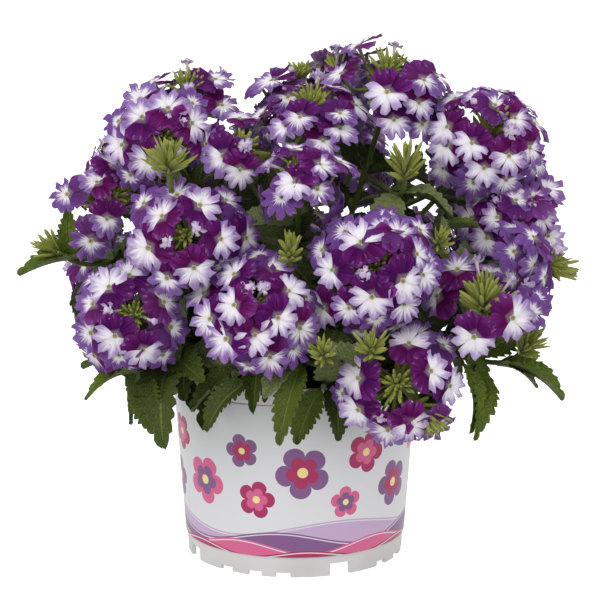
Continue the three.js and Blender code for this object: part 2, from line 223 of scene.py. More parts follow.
# Leafy stem ends without flowers: x, y, z, azimuth and elevation.
TIPS = [
    (-77, -69, 108, -40, 4),
    (-22, -84, 109, -14, 6),
    (14, -86, 106, 6, 4),
    (86, -66, 116, 48, 6),
    (4, 84, 107, 180, 4),
    (58, 60, 107, 138, 4),
    (-58, 60, 107, -140, 4),
    (84, 14, 112, 96, 4),
    (-84, 6, 112, -92, 4),
]

# Shoots: radius of the ring their feet stand on, azimuth there, what the main stem ends in,
# then each branch's end and where on the main stem it leaves.
SHOOTS = [
    (21, -10, "H1", [("B7", 0.62), ("T2", 0.4)]),
    (10, 24, "H2", [("B3", 0.62)]),
    (21, -36, "H3", [("B1", 0.66)]),
    (21, -62, "H4", [("T1", 0.42)]),
    (10, -62, "H5", [("H6", 0.56)]),
    (21, -88, "H7", [("B5", 0.6)]),
    (10, -18, "H16", [("H17", 0.62)]),
    (0, 0, "H8", [("H9", 0.6), ("H27", 0.5)]),
    (10, 62, "H10", [("B2", 0.66)]),
    (10, 102, "H11", [("B4", 0.5)]),
    (21, 84, "H12", [("H13", 0.6), ("T8", 0.36)]),
    (21, 58, "H14", [("B8", 0.54), ("T4", 0.42)]),
    (21, 26, "H15", [("B6", 0.52), ("T3", 0.44)]),
    (21, 178, "H18", [("B9", 0.6), ("T5", 0.42)]),
    (21, 134, "H19", [("H21", 0.46), ("T6", 0.42)]),
    (21, -136, "H20", [("H22", 0.46), ("T7", 0.42)]),
    (10, 150, "H23", [("H25", 0.5)]),
    (10, -142, "H24", [("H26", 0.5), ("T9", 0.3)]),
]

# Single leaves: shoot, its stem (1 is the first branch), where on it, tip x, y, z, width, roll.
PLACED_LEAVES = [
    (6, 1, 0.66, -137, -54, 156, 15, -20),
    (6, 1, 0.96, -112, -46, 188, 11, 75),
    (4, 1, 0.9, -69, -80, 81, 17, 0),
    (4, 1, 0.6, -64, -97, 80, 24, 0),
    (4, 1, 0.84, -103, -78, 101, 11, 0),
    (4, 1, 0.6, -105, -68, 112, 16, 0),
    (4, 0, 0.72, -92, -50, 120, 24, 0),
    (3, 0, 0.2, -47, -62, 81, 19, 0),
    (4, 1, 0.3, -56, -54, 92, 19, 0),
    (1, 2, 0.9, -44, -84, 84, 15, 0),
    (13, 2, 0.92, 1, -90, 78, 15, 0),
    (12, 2, 0.92, 89, -76, 81, 10, 0),
    (12, 1, 0.74, 134, -64, 96, 14, 0),
    (12, 1, 0.8, 121, -58, 99, 12, 0),
]

# The camera: place in metres, degrees it looks down, focal length and sensor in millimetres,
# and the pixels along its square frame.
CAMERA_PLACE = (0.00266, -1.0456, 0.3273)
CAMERA_PITCH, CAMERA_LENS, SENSOR, FRAME = 10.545, 122.1, 36.0, 600

# Stems.
STEM_FOOT = 88.3  # height of a shoot's foot, just clear of the compost
GAP = 0.3  # between a stem's end and the head or tuft on it
TRUNK_BENDS, BRANCH_BENDS = (0.26, 0.36), (0.3, 0.34)
STEM_STEPS = 18  # straight parts of a stem's curve
TRUNK_WIDTH, BRANCH_WIDTH, STEM_TAPER = 1.15, 0.8, 0.25  # shares of the stem width
STEM_CORNER = 0.28  # rounding of a square stem's corners, as a share of its width

# Leaves: where pairs sit on a main stem and on a branch, the turns and sizes that a leaf may
# have to find room, and its measures.
PAIRS, SIDE_PAIR = (0.42, 0.72), 0.6
TURNS, SIZES = (0, 30, -30, 60, -60, 90), (1, 0.82, 0.66, 0.5)
LEAF_LENGTH, LEAF_WIDTH, LEAF_LIFT, LEAF_DROOP = 38, 18, 24, 9
LEAF_FACING = 0.8  # how far a leaf's upper side turns outwards instead of up
LEAF_STALK = 0.07  # the share of a leaf's length that is stalk
LATERALS, LATERAL_SLANT = 7.5, 1.7  # side veins along a leaf, and how far they lean forwards
LOWEST_TIP = 78
FOUND = 0.12  # how near a vertex of the frame lies to the tip of a leaf that grew there
HANGING_TIP, HANGING_WIDTH = 95, 0.75  # leaves with lower tips than this are this much narrower
SKIRT_COUNT = 33  # leaves that hang over the pot's rim
SKIRT_FOOT_HEIGHTS, SKIRT_FOOT_REACH = (98, 128), 62  # where on the stems they may start
INNER_REACH, INNER_LOWEST = 112, 96  # how far out and how low the inner leaves' tips may be
HEAD_ROOM = 5  # between an inner leaf's tip and a head
FINE_COLUMNS, PLAIN_COLUMNS = (-1, -0.7, -0.35, 0, 0.35, 0.7, 1), (-1, -0.5, 0, 0.5, 1)
FINE_TEETH = (11, 12, 10, 11, 13, 10)
FINE_LEAVES, PLAIN_LEAVES = len(FINE_TEETH), 4

# Flowers. The petals' marks tell the kinds apart.
PALE_PETAL, DARK_PETAL, FOLDED_PETAL = 0, 1, 2
PALE_ROWS = (0, 0.25, 0.52, 0.78, 1)
PALE_COLUMNS = (-1, -0.84, -0.64, -0.42, -0.2, 0, 0.2, 0.42, 0.64, 0.84, 1)
DARK_ROWS, DARK_COLUMNS = (0, 0.3, 0.65, 1), (-1, -0.72, -0.42, -0.14, 0.14, 0.42, 0.72, 1)
THROAT, PETAL_THICKNESS = 0.8, 0.3
TUBE_LENGTH = 12.5
TUBE_RINGS = (
    (-TUBE_LENGTH, 0), (-TUBE_LENGTH, 0.7), (-3, 0.85), (0.1, 1.2), (-0.5, 0.5), (-1.2, 0),
)
FOLDED_RINGS = (
    (-9, 0), (-9, 0.7), (-3, 0.85), (-1, 1.0), (0.2, 1.5), (1.4, 1.9), (2.3, 1.6), (2.9, 0.8),
    (2.4, 0),
)
CALYX_RINGS = ((0, 0), (0, 0.45), (3, 0.7), (6.5, 0.8), (8.9, 0.55), (10, 0.22), (9.6, 0))
STALK_RINGS = ((0, 0), (0, 1.2), (4, 1.3), (8, 1.15), (10, 0.6), (10.4, 0))
GREEN_LENGTH = 10  # of a calyx, bract or stalk before it is stretched
CALYX_SHAPES, BRACT_SHAPES = 3, 2
STALK_KIND = CALYX_SHAPES + BRACT_SHAPES
FRESH_SHAPES, OLD_SHAPES, UNOPENED_SHAPES = 8, 5, 4
AGED = 0.65  # age from which a flower has one of the old shapes

# Heads.
DOME, REACH_OUT = 0.9, 1.12  # dome of the flowers' eyes as a share of the reach, and the widest
FLOWER_ROOM = 11  # least distance between two flowers' eyes
FLOWER_SPACING = 14  # between the flowers of a ring
DRAWN_IN, DRAWN_STEP = 4, 3  # steps by which a far head's flower is drawn in to clear the frame
DOME_SKIRT = 3  # how far below its foot a head's dome reaches
COLLAR_BRACTS = 15
COLLAR, COLLAR_ROOM = 6.5, 8  # middle of a flower's dark petals, and the room they need
FOLDED_ROOM = 5  # between an unopened flower and the calyces round it
MOUND_MIDDLE = 170  # height of the flowers' middle
# How far a flower faces the camera from which only placed ones stand there, and how far a flower
# of an outer ring may face into the plant: cosines of the angles.
FACES_CAMERA, FACES_INWARDS = 0.3, -0.25
PETAL_REACH = 6  # how far above its eye a flower is looked for in the frame
# Rings of flowers: further lean, reach, age, and how flat its flowers lie.
RINGS = ((0, 0.93, 0.0, 1), (30, 0.9, 0.3, 0.8), (58, 0.88, 0.6, 0.5), (80, 0.86, 0.8, 0.3))
TUFT_RISE = 0.38  # share of a tuft's height over which its calyces and bracts start
LONGEST_GREEN = 17
SPIRAL = 2.4  # turn in radians from each bud of a tuft to the next
ANY_TURN, WHOLE_TURN = 6.3, 6.28  # in radians; the first is a little more than a whole turn

# The pot's outline, from its foot to its rim: radius and height.
FOOT_RADIUS, FOOT_HEIGHT, WALL = 56.7, 10.5, 1.6
FLOOR_HEIGHT, POT_HEIGHT, RIM_RADIUS, RIM_DEPTH = 7.6, 100, 65, 8.5
SLEEVE_BOTTOM, SLEEVE_TOP, SLEEVE_FILM = 10.8, 90.6, 0.4
SLEEVE_FOOT, SLEEVE_HEAD = 58.0, 63.8
SLEEVE_GAP = 0.7  # between the sleeve's outer side and the wall
LARGE_NOTCHES = ((24, 114, 204, 294), 11, 6.5)
SMALL_NOTCHES = (tuple(a + q for q in (0, 90, 180, 270) for a in (-6, -21, -38)), 7.5, 2.4)
# Drain holes: x, y and radius.
DRAIN_RING = [math.radians(azimuth) for azimuth in range(0, 360, 60)]
DRAINS = [(0, 0, 4.5)] + [(36 * math.sin(a), -36 * math.cos(a), 3.6) for a in DRAIN_RING]
NOTCH_DEPTH, DRAIN_DEPTH = 12, 14
TURNED_SIDES = 240  # of the pot and the sleeve
SHARPEST_SMOOTH, BEVELLED_FROM = 34, 38  # angles at edges, in degrees

PRINT_MAP, PRINT_UNIT = "print", 100.0  # the sleeve's map, and the millimetres to its unit
PRINTED_PETALS = 5
# Blossoms printed on the sleeve: millimetres round from the front and up, reach, turn, colours.
BLOSSOMS = [
    (-52, 47, 13, 10, 0), (-27, 66, 9, 40, 1), (-20, 41, 10, 70, 2), (4, 56, 14, 25, 1),
    (27, 39, 8.5, 50, 0), (38, 64, 11, 5, 2), (60, 44, 12.5, 33, 1), (-74, 68, 10, 20, 2),
    (-84, 42, 11, 64, 1), (82, 66, 9.5, 48, 0), (96, 43, 10, 12, 2), (-106, 60, 13, 5, 0),
    (116, 62, 13.5, 30, 1), (-132, 44, 10.5, 25, 2), (140, 45, 10, 60, 0), (-150, 66, 9, 15, 1),
    (162, 62, 12, 42, 2), (-172, 48, 12, 8, 0),
]
# Ribbons printed along the sleeve's foot: middle height, swing, waves round, phase.
RIBBONS = [(25.5, 4.2, 3, 0.4), (20.5, 3.8, 4, 2.1), (16.0, 3.0, 5, 4.0), (12.6, 1.8, 6, 1.0)]


def srgb(red, green, blue):
    """A colour from 0 to 255 on a screen as Blender's linear colour."""

    def linear(c):
        c /= 255
        return c / 12.92 if c <= 0.04045 else ((c + 0.055) / 1.055) ** 2.4

    return (linear(red), linear(green), linear(blue), 1.0)


def facing(azimuth, elevation):
    """The direction that looks out at these angles in degrees."""
    a, e = math.radians(azimuth), math.radians(elevation)
    return Vector((math.sin(a) * math.cos(e), -math.cos(a) * math.cos(e), math.sin(e)))


# ---- nodes ----


def fill(node, inputs):
    """Fills or links a node's inputs by name or number."""
    for key, value in inputs.items():
        if isinstance(value, Wire):
            value.tree.links.new(value.socket, node.inputs[key])
        else:
            node.inputs[key].default_value = value


def add_node(tree, kind, inputs=None, **settings):
    """Adds a node with these settings and inputs."""
    made = tree.nodes.new(kind)
    for name, value in settings.items():
        setattr(made, name, value)
    fill(made, inputs or {})
    return made


class Wire:
    """What comes out of a node. Sums with it add Math nodes to its tree."""

    def __init__(self, tree, socket):
        self.tree, self.socket = tree, socket

    def __add__(self, other):
        return maths("ADD", self, other)

    __radd__ = __add__

    def __sub__(self, other):
        return maths("SUBTRACT", self, other)

    def __rsub__(self, other):
        return maths("SUBTRACT", other, self)

    def __mul__(self, other):
        return maths("MULTIPLY", self, other)

    def __truediv__(self, other):
        return maths("DIVIDE", self, other)

    def __pow__(self, other):
        return maths("POWER", self, other)

    def __abs__(self):
        return maths("ABSOLUTE", self)


def wire(tree, kind, inputs=None, output=0, **settings):
    """What comes out of a new node."""
    return Wire(tree, add_node(tree, kind, inputs, **settings).outputs[output])


def maths(operation, *values):
    """What a Math node makes of these values, at least one of which is a wire."""
    tree = next(value.tree for value in values if isinstance(value, Wire))
    return wire(tree, "ShaderNodeMath", dict(enumerate(values)), operation=operation)


def fade(value, start, end, low=0.0, high=1.0):
    """Goes smoothly from low to high while the value goes from start to end."""
    inputs = {0: value, 1: start, 2: end, 3: low, 4: high}
    return wire(value.tree, "ShaderNodeMapRange", inputs, interpolation_type="SMOOTHSTEP")


def mix(share, first, second):
    """A colour between two colours."""
    return wire(share.tree, "ShaderNodeMix", {0: share, 6: first, 7: second}, 2, data_type="RGBA")


def noise(place, scale, detail=2.0, roughness=0.5):
    """Random clouds of this scale, from 0 to 1."""
    inputs = {"Vector": place, "Scale": scale, "Detail": detail, "Roughness": roughness}
    return wire(place.tree, "ShaderNodeTexNoise", inputs)


def split(vector):
    """The three numbers of a vector."""
    made = add_node(vector.tree, "ShaderNodeSeparateXYZ", {0: vector})
    return [Wire(vector.tree, socket) for socket in made.outputs]


def attribute(tree, name):
    """The three numbers of a named vector attribute."""
    return split(wire(tree, "ShaderNodeAttribute", None, "Vector", attribute_name=name))


def under_skin(tree):
    """1 on the lower skin of a petal or a leaf, and 0 on the upper."""
    return wire(tree, "ShaderNodeAttribute", None, "Fac", attribute_name="under")


def object_place(tree):
    """Where a point of the surface is on its object."""
    return wire(tree, "ShaderNodeTexCoord", None, "Object")


def bump(shader, height, depth, strength):
    """Raises the surface by height times depth, in metres."""
    inputs = {"Height": height, "Distance": depth, "Strength": strength}
    fill(shader, {"Normal": wire(height.tree, "ShaderNodeBump", inputs)})


def new_material(name):
    """A plain material: the material, its node tree and its shader."""
    material = bpy.data.materials.new(name)
    material.use_nodes = True
    return material, material.node_tree, material.node_tree.nodes["Principled BSDF"]


def new_group(name, kind, inputs, result):
    """A group of nodes: its tree, what each of its named inputs gives, and its output node.
    Each input has a kind and a default; result is the kind of what the group makes."""
    tree = bpy.data.node_groups.new(name, kind)
    for label, (socket_kind, value) in inputs.items():
        socket = tree.interface.new_socket(
            label, in_out="INPUT", socket_type="NodeSocket" + socket_kind
        )
        if value is not None:
            socket.default_value = value
    tree.interface.new_socket(result, in_out="OUTPUT", socket_type="NodeSocket" + result)
    start = tree.nodes.new("NodeGroupInput")
    given = {socket.name: Wire(tree, socket) for socket in start.outputs}
    return tree, given, tree.nodes.new("NodeGroupOutput")


def geometry_group(name, inputs):
    """A group of geometry nodes that takes a geometry and these inputs and makes a geometry."""
    inputs = {"Geometry": ("Geometry", None), **inputs}
    return new_group(name, "GeometryNodeTree", inputs, "Geometry")


def run_tree(owner, tree, values):
    """Runs a geometry node tree on a loose object, and returns the plain mesh that it makes."""
    modifier = owner.modifiers.new(tree.name, "NODES")
    modifier.node_group = tree
    for item in tree.interface.items_tree:
        if item.item_type == "SOCKET" and item.in_out == "INPUT" and item.name in values:
            modifier[item.identifier] = values[item.name]
    graph = bpy.context.evaluated_depsgraph_get()
    mesh = bpy.data.meshes.new_from_object(
        owner.evaluated_get(graph), preserve_all_data_layers=True, depsgraph=graph
    )
    owner.modifiers.remove(modifier)
    for spare in ("turn", "stretch", "kind"):
        if spare in mesh.attributes:
            mesh.attributes.remove(mesh.attributes[spare])
    bpy.data.objects.remove(owner)
    return mesh


def loose_object(name, data):
    """An object that only helps to build a piece."""
    made = bpy.data.objects.new(name, data)
    bpy.context.scene.collection.objects.link(made)
    return made


def place_piece(name, mesh, slot, *nodes):
    """Makes a finished mesh a piece that rides on the plant and stands for these nodes."""
    mesh.name = name
    piece = bpy.data.objects.new(name, mesh)
    bpy.context.scene.collection.objects.link(piece)
    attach(piece, "root")
    if nodes:
        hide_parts(*nodes)


def mesh_of(work, name):
    """The mesh that a bmesh holds."""
    mesh = bpy.data.meshes.new(name)
    work.to_mesh(mesh)
    work.free()
    return mesh


def mark_points(mesh, name, values, kind="FLOAT_VECTOR"):
    """Gives each point of a mesh a named value."""
    field = "vector" if kind == "FLOAT_VECTOR" else "value"
    mesh.attributes.new(name, kind, "POINT").data.foreach_set(field, values)


def without_repeats(corners):
    """A face's corners, each of them once."""
    return [corner for i, corner in enumerate(corners) if corner not in corners[:i]]


# ---- small shapes ----


class Shape:
    """Collects the points and faces of one small shape. Each point has a mark, three numbers that
    say where it is on the shape, and under, which is 1 on the shape's lower skin."""

    def __init__(self, mark):
        self.mark = mark
        self.points, self.marks, self.under = [], [], []
        self.faces, self.sharp = [], set()

    def point(self, place, mark, under=0.0):
        self.points.append(Vector(place) * MM)
        self.marks.extend(mark)
        self.under.append(under)
        return len(self.points) - 1

    def make(self, name):
        mesh = bpy.data.meshes.new(name)
        mesh.from_pydata(self.points, [], self.faces)
        mesh.shade_smooth()
        mark_points(mesh, self.mark, self.marks)
        mark_points(mesh, "under", self.under, "FLOAT")
        for edge in mesh.edges:
            edge.use_edge_sharp = tuple(sorted(edge.vertices)) in self.sharp
        return mesh


def add_blade(shape, rows, columns, skin, mark):
    """Adds a thin closed blade: an upper and a lower skin that meet along its outline."""
    upper, lower = {}, {}
    last_row, last_column = len(rows) - 1, len(columns) - 1
    for i, s in enumerate(rows):
        for j, v in enumerate(columns):
            upper[i, j] = shape.point(skin(s, v, 0), mark(s, v))
            inside = 0 < i < last_row and 0 < j < last_column
            lower[i, j] = shape.point(skin(s, v, 1), mark(s, v), 1.0) if inside else upper[i, j]
    for i in range(last_row):
        for j in range(last_column):
            corners = ((i, j), (i, j + 1), (i + 1, j + 1), (i + 1, j))
            shape.faces.append([upper[c] for c in corners])
            shape.faces.append([lower[c] for c in reversed(corners)])
    rim = [(0, j) for j in range(last_column)] + [(i, last_column) for i in range(last_row)]
    rim += [(last_row, j) for j in range(last_column, 0, -1)]
    rim += [(i, 0) for i in range(last_row, 0, -1)]
    for a, b in zip(rim, rim[1:] + rim[:1]):
        shape.sharp.add(tuple(sorted((upper[a], upper[b]))))


def add_turned(shape, rings, sides, mark, swell=None, path=None):
    """Adds a closed turned body. Rings are (height, radius), and the first and last are points;
    swell changes the radius with the angle, and path moves a ring's middle."""
    swell = swell or (lambda angle, height: 1.0)
    path = path or (lambda height: Vector((0, 0, 0)))
    loops = []
    for height, radius in rings:
        middle = Vector((0, 0, height)) + path(height)
        if radius == 0:
            loops.append([shape.point(middle, mark(height, 0))] * sides)
            continue
        loop = []
        for k in range(sides):
            angle = 2 * math.pi * k / sides
            out = radius * swell(angle, height)
            place = middle + Vector((out * math.cos(angle), out * math.sin(angle), 0))
            loop.append(shape.point(place, mark(height, k)))
        loops.append(loop)
    for low, high in zip(loops, loops[1:]):
        for k in range(sides):
            n = (k + 1) % sides
            shape.faces.append(without_repeats([low[k], low[n], high[n], high[k]]))


def add_petal(shape, kind, turn, length, width, notch, droop, chance):
    """Adds one petal that leaves the throat at this turn from the head's middle. It widens
    outwards, and its end is cut into two round lobes."""
    turn = math.radians(turn)
    phase, ruffle = chance.uniform(0, ANY_TURN), chance.uniform(0.5, 1.1)
    curl, twist = chance.uniform(-0.6, 1.1), chance.uniform(0.04, 0.16)
    ragged = chance.uniform(0.03, 0.08)

    def skin(s, v, side):
        lobe = notch * math.exp(-((v / 0.23) ** 2)) + 0.34 * abs(v) ** 2.8
        lobe += ragged * math.sin(11 * v + phase)
        along = THROAT + (length - THROAT) * s * (1 - lobe * s**2)
        across = width / 2 * v * (0.17 + 0.83 * math.sin(math.pi / 2 * min(1, s * 1.12)) ** 0.9)
        rise = 0.1 * length * s * (1 - s) - droop * length * s**2.2 + twist * across
        ripple = math.sin(3.6 * v + phase) + 0.5 * s * math.sin(10 * v + 2 * phase)
        rise += ruffle * s * s * ripple
        rise += curl * (v * s) ** 2
        if side:
            rise -= PETAL_THICKNESS * (1 - v * v) * min(1, 5 * s * (1 - s))
        return (
            across * math.cos(turn) + along * math.sin(turn),
            along * math.cos(turn) - across * math.sin(turn),
            rise,
        )

    is_dark = kind == DARK_PETAL
    rows, columns = (DARK_ROWS, DARK_COLUMNS) if is_dark else (PALE_ROWS, PALE_COLUMNS)
    add_blade(shape, rows, columns, skin, lambda s, v: (s, v, kind))


def floret(number, age):
    """One open flower: two dark petals towards the head's middle, three pale ones outwards."""
    chance = random.Random(number)
    shape = Shape("petal")
    stretch = chance.uniform(0.96, 1.05)
    bend = 0.02 + 0.12 * age
    for turn in (-36, 36):
        add_petal(
            shape, DARK_PETAL, turn + chance.uniform(-4, 4), chance.uniform(11.6, 13) * stretch,
            12.2, 0.1, bend + chance.uniform(-0.08, 0.03), chance,
        )
    for turn, length, width, notch in (
        (-108, 10.7, 9.6, 0.34), (108, 10.7, 9.6, 0.34), (180, 11.3, 10.2, 0.38),
    ):
        add_petal(
            shape, PALE_PETAL, turn + chance.uniform(-6, 6),
            length * stretch * chance.uniform(0.94, 1.05), width * chance.uniform(0.92, 1.06),
            notch + chance.uniform(-0.06, 0.05), bend + 0.03 + chance.uniform(-0.07, 0.09), chance,
        )
    add_turned(shape, TUBE_RINGS, 6, lambda height, k: (-0.1 if height > -1.4 else -1, 0, 0))
    return shape.make("floret")


def unopened(number):
    """A flower that hasn't opened: a lobed knob or, where its petals part, a crumpled star."""
    chance = random.Random(number)
    shape = Shape("petal")
    lean = chance.uniform(-0.03, 0.03)
    add_turned(
        shape, FOLDED_RINGS, 10,
        lambda height, k: (max(0.1, height / 3.2), 0, FOLDED_PETAL),
        swell=lambda angle, height: 1 + (0.14 * math.cos(5 * angle) if height > 0 else 0),
        path=lambda height: Vector((lean * height * height, 0, 0)),
    )
    if number % 3:
        for k in range(5):
            add_petal(
                shape, PALE_PETAL, 72 * k + chance.uniform(-12, 12), chance.uniform(3.6, 5.4),
                chance.uniform(3.2, 4.4), 0.16, chance.uniform(-0.55, 0.05), chance,
            )
    return shape.make("unopened")


def calyx(number):
    """A ribbed green calyx, a little curved."""
    chance = random.Random(number)
    shape = Shape("rib")
    lean = chance.uniform(-0.012, 0.012)
    add_turned(
        shape, CALYX_RINGS, 10,
        lambda height, k: (height / GREEN_LENGTH, k % 2, 0),
        swell=lambda angle, height: 1 + (0.2 if height < 8 else 0.45) * math.cos(5 * angle),
        path=lambda height: Vector((lean * height * height, 0.5 * lean * height * height, 0)),
    )
    return shape.make("calyx")


def bract(number):
    """A narrow pointed bract that cups a bud."""
    chance = random.Random(number)
    shape = Shape("rib")
    bend = chance.uniform(0.06, 0.2)

    def skin(s, v, side):
        half = 1.25 * math.sin(math.pi * min(1, s * 0.86 + 0.12)) + 0.05
        rise = 1.2 * abs(v) * half * 0.5 + bend * GREEN_LENGTH * s * s
        if side:
            rise -= 0.3 * (1 - v * v) * 4 * s * (1 - s)
        return (half * v, rise, GREEN_LENGTH * s)

    add_blade(shape, (0, 0.25, 0.5, 0.78, 1), (1, 0, -1), skin, lambda s, v: (s, abs(v), 1))
    return shape.make("bract")


def rachis():
    """The short stalk that a head's flowers stand on."""
    shape = Shape("rib")
    add_turned(shape, STALK_RINGS, 8, lambda height, k: (0.2, 0, 0))
    return shape.make("rachis")


def leaf(number, teeth, steps, columns):
    """A verbena leaf with round teeth, one unit long and two units wide, its stalk at the origin.
    Steps are the rows of faces along each tooth."""
    chance = random.Random(number)
    shape = Shape("blade")
    count = teeth * steps
    rows = [0] + [LEAF_STALK + (1 - LEAF_STALK) * k / count for k in range(count + 1)]
    wave, phase = chance.uniform(0.01, 0.03), chance.uniform(0, ANY_TURN)
    hook, roll = chance.uniform(-0.1, 0.03), chance.uniform(-0.02, 0.05)
    skew = chance.uniform(-0.06, 0.06)
    blunt = chance.uniform(0.62, 0.8)
    depths = [chance.uniform(0.5, 1.4) for _ in range(teeth + 1)]

    def skin(s, v, side):
        share = max(0.0, (s - LEAF_STALK) / (1 - LEAF_STALK))
        half = 0.04 + math.sin(math.pi * min(1, share) ** 0.88) ** blunt * (1.06 - 0.22 * share)
        bulge = 0.6
        if 0 < share < 0.999:
            bulge = math.sin(math.pi * (share * teeth % 1) ** 1.4) ** 0.6
        edge = v**4 * depths[int(share * teeth)]
        across = half * v * (1 + (0.26 * bulge - 0.15) * edge)
        along = s + 0.03 * (bulge - 0.5) * edge
        rib = -0.012 if v == 0 else 0.0
        pleat = 0.012 * math.cos(2 * math.pi * (LATERALS * s - LATERAL_SLANT * abs(v))) * abs(v)
        rise = 0.118 * math.sin(math.pi * s) + 0.09 * abs(v) * half + rib
        rise += hook * s**4 + roll * v * v - pleat
        rise += wave * math.sin(9 * s + phase + 2.2 * v) * abs(v)
        if side:
            rise -= 0.016 * (1 - v * v) + (0.014 if v == 0 else 0)
        across += skew * math.sin(math.pi * s) * 2
        return across / MM, along / MM, rise / MM

    add_blade(shape, rows, columns, skin, lambda s, v: (s, v, 0))
    return shape.make("leaf")


def leaf_shapes():
    """Finely toothed leaves for the outside of the plant, then plainer ones for its inside."""
    fine = [leaf(k, teeth, 3, FINE_COLUMNS) for k, teeth in enumerate(FINE_TEETH)]
    return fine + [leaf(20 + k, 7, 2, PLAIN_COLUMNS) for k in range(PLAIN_LEAVES)]


def crumb(number):
    """A crumb of compost, about three millimetres across."""
    chance = random.Random(number)
    work = bmesh.new()
    bmesh.ops.create_icosphere(work, subdivisions=1, radius=1.5 * MM)
    for vertex in work.verts:
        vertex.co *= chance.uniform(0.65, 1.2)
        vertex.co.z *= 0.7
    mesh = mesh_of(work, "crumb")
    mesh.shade_smooth()
    return mesh


def collect(name, meshes):
    """A collection of shapes to set out; they are picked by their order in it."""
    group = bpy.data.collections.new(name)
    for number, mesh in enumerate(meshes):
        group.objects.link(bpy.data.objects.new(f"{name}_{number:02d}", mesh))
    return group


class Sites:
    """Places where shapes are set out, each with its turn, stretch, kind and tone."""

    def __init__(self):
        self.places, self.kinds = [], []
        self.turns, self.stretches, self.tones = [], [], []

    def add(self, place, across, along, out, stretch, kind, tone):
        """Across, along and out are the directions that the shape's x, y and z take."""
        turn = Matrix((across, along, out)).transposed().to_euler()
        self.places.append(Vector(place) * MM)
        self.turns.extend(turn)
        self.stretches.extend(stretch)
        self.kinds.append(kind)
        self.tones.extend(tone)

    def make(self, name):
        mesh = bpy.data.meshes.new(name)
        mesh.from_pydata(self.places, [], [])
        mark_points(mesh, "turn", self.turns)
        mark_points(mesh, "stretch", self.stretches)
        mark_points(mesh, "kind", self.kinds, "INT")
        mark_points(mesh, "tone", self.tones)
        return loose_object(name, mesh)


def random_sizes(spread, seed):
    """A size near one for each point."""
    inputs = {2: 1.0 - spread, 3: 1.0 + spread, "Seed": seed}
    return wire(spread.tree, "FunctionNodeRandomValue", inputs, 1, data_type="FLOAT")


def set_out(points, shapes, turn, scale, kind=None):
    """Puts shapes from a collection on points, each turned and scaled. Kind picks a point's shape;
    without it chance does."""
    tree = points.tree
    inputs = {
        "Points": points,
        "Instance": wire(tree, "GeometryNodeCollectionInfo", {0: shapes, 1: True, 2: True}),
        "Pick Instance": True,
        "Rotation": wire(tree, "FunctionNodeEulerToRotation", {0: turn}),
        "Scale": scale,
    }
    if kind is not None:
        inputs["Instance Index"] = kind
    return wire(tree, "GeometryNodeInstanceOnPoints", inputs)


def set_out_on_sites(given, shapes):
    """Puts shapes on points that carry a turn, a stretch and a kind."""
    tree = shapes.tree

    def carried(name, data_type="FLOAT_VECTOR"):
        return wire(tree, "GeometryNodeInputNamedAttribute", {0: name}, data_type=data_type)

    size = random_sizes(given["Size Spread"], given["Seed"])
    scale = {0: carried("stretch"), "Scale": size}
    scale = wire(tree, "ShaderNodeVectorMath", scale, operation="SCALE")
    return set_out(given["Geometry"], shapes, carried("turn"), scale, carried("kind", "INT"))


def join(*parts):
    """Joins geometries into one."""
    joined = add_node(parts[0].tree, "GeometryNodeJoinGeometry")
    for part in parts:
        fill(joined, {0: part})
    return Wire(parts[0].tree, joined.outputs[0])


def finished(geometry, finish):
    """Makes instances real and gives them their finish."""
    real = wire(geometry.tree, "GeometryNodeRealizeInstances", {0: geometry})
    inputs = {"Geometry": real, "Material": finish}
    return wire(geometry.tree, "GeometryNodeSetMaterial", inputs)


def set_out_tree():
    """Sets shapes out on points."""
    inputs = {
        "Shapes": ("Collection", None),
        "Finish": ("Material", None),
        "Size Spread": ("Float", 0.05),
        "Seed": ("Int", 1),
    }
    tree, given, result = geometry_group("Set Out Shapes", inputs)
    fill(result, {0: finished(set_out_on_sites(given, given["Shapes"]), given["Finish"])})
    return tree


def shoot_tree():
    """Sweeps square stems along paths and sets leaves out on points."""
    inputs = {
        "Paths": ("Object", None),
        "Stem Width": ("Float", 2 * MM),
        "Stem Finish": ("Material", None),
        "Leaves": ("Collection", None),
        "Leaf Finish": ("Material", None),
        "Size Spread": ("Float", 0.0),
        "Seed": ("Int", 1),
    }
    tree, given, result = geometry_group("Grow Shoot", inputs)
    width = given["Stem Width"]
    paths = wire(tree, "GeometryNodeObjectInfo", {0: given["Paths"]}, "Geometry")
    square = wire(tree, "GeometryNodeCurvePrimitiveQuadrilateral", {0: width, 1: width})
    corners = {"Curve": square, "Radius": width * STEM_CORNER, "Count": 2}
    profile = wire(tree, "GeometryNodeFilletCurve", corners, mode="POLY")
    sweep = {"Curve": paths, "Profile Curve": profile, "Fill Caps": True}
    stems = finished(wire(tree, "GeometryNodeCurveToMesh", sweep), given["Stem Finish"])
    leaves = finished(set_out_on_sites(given, given["Leaves"]), given["Leaf Finish"])
    fill(result, {0: join(stems, leaves)})
    return tree


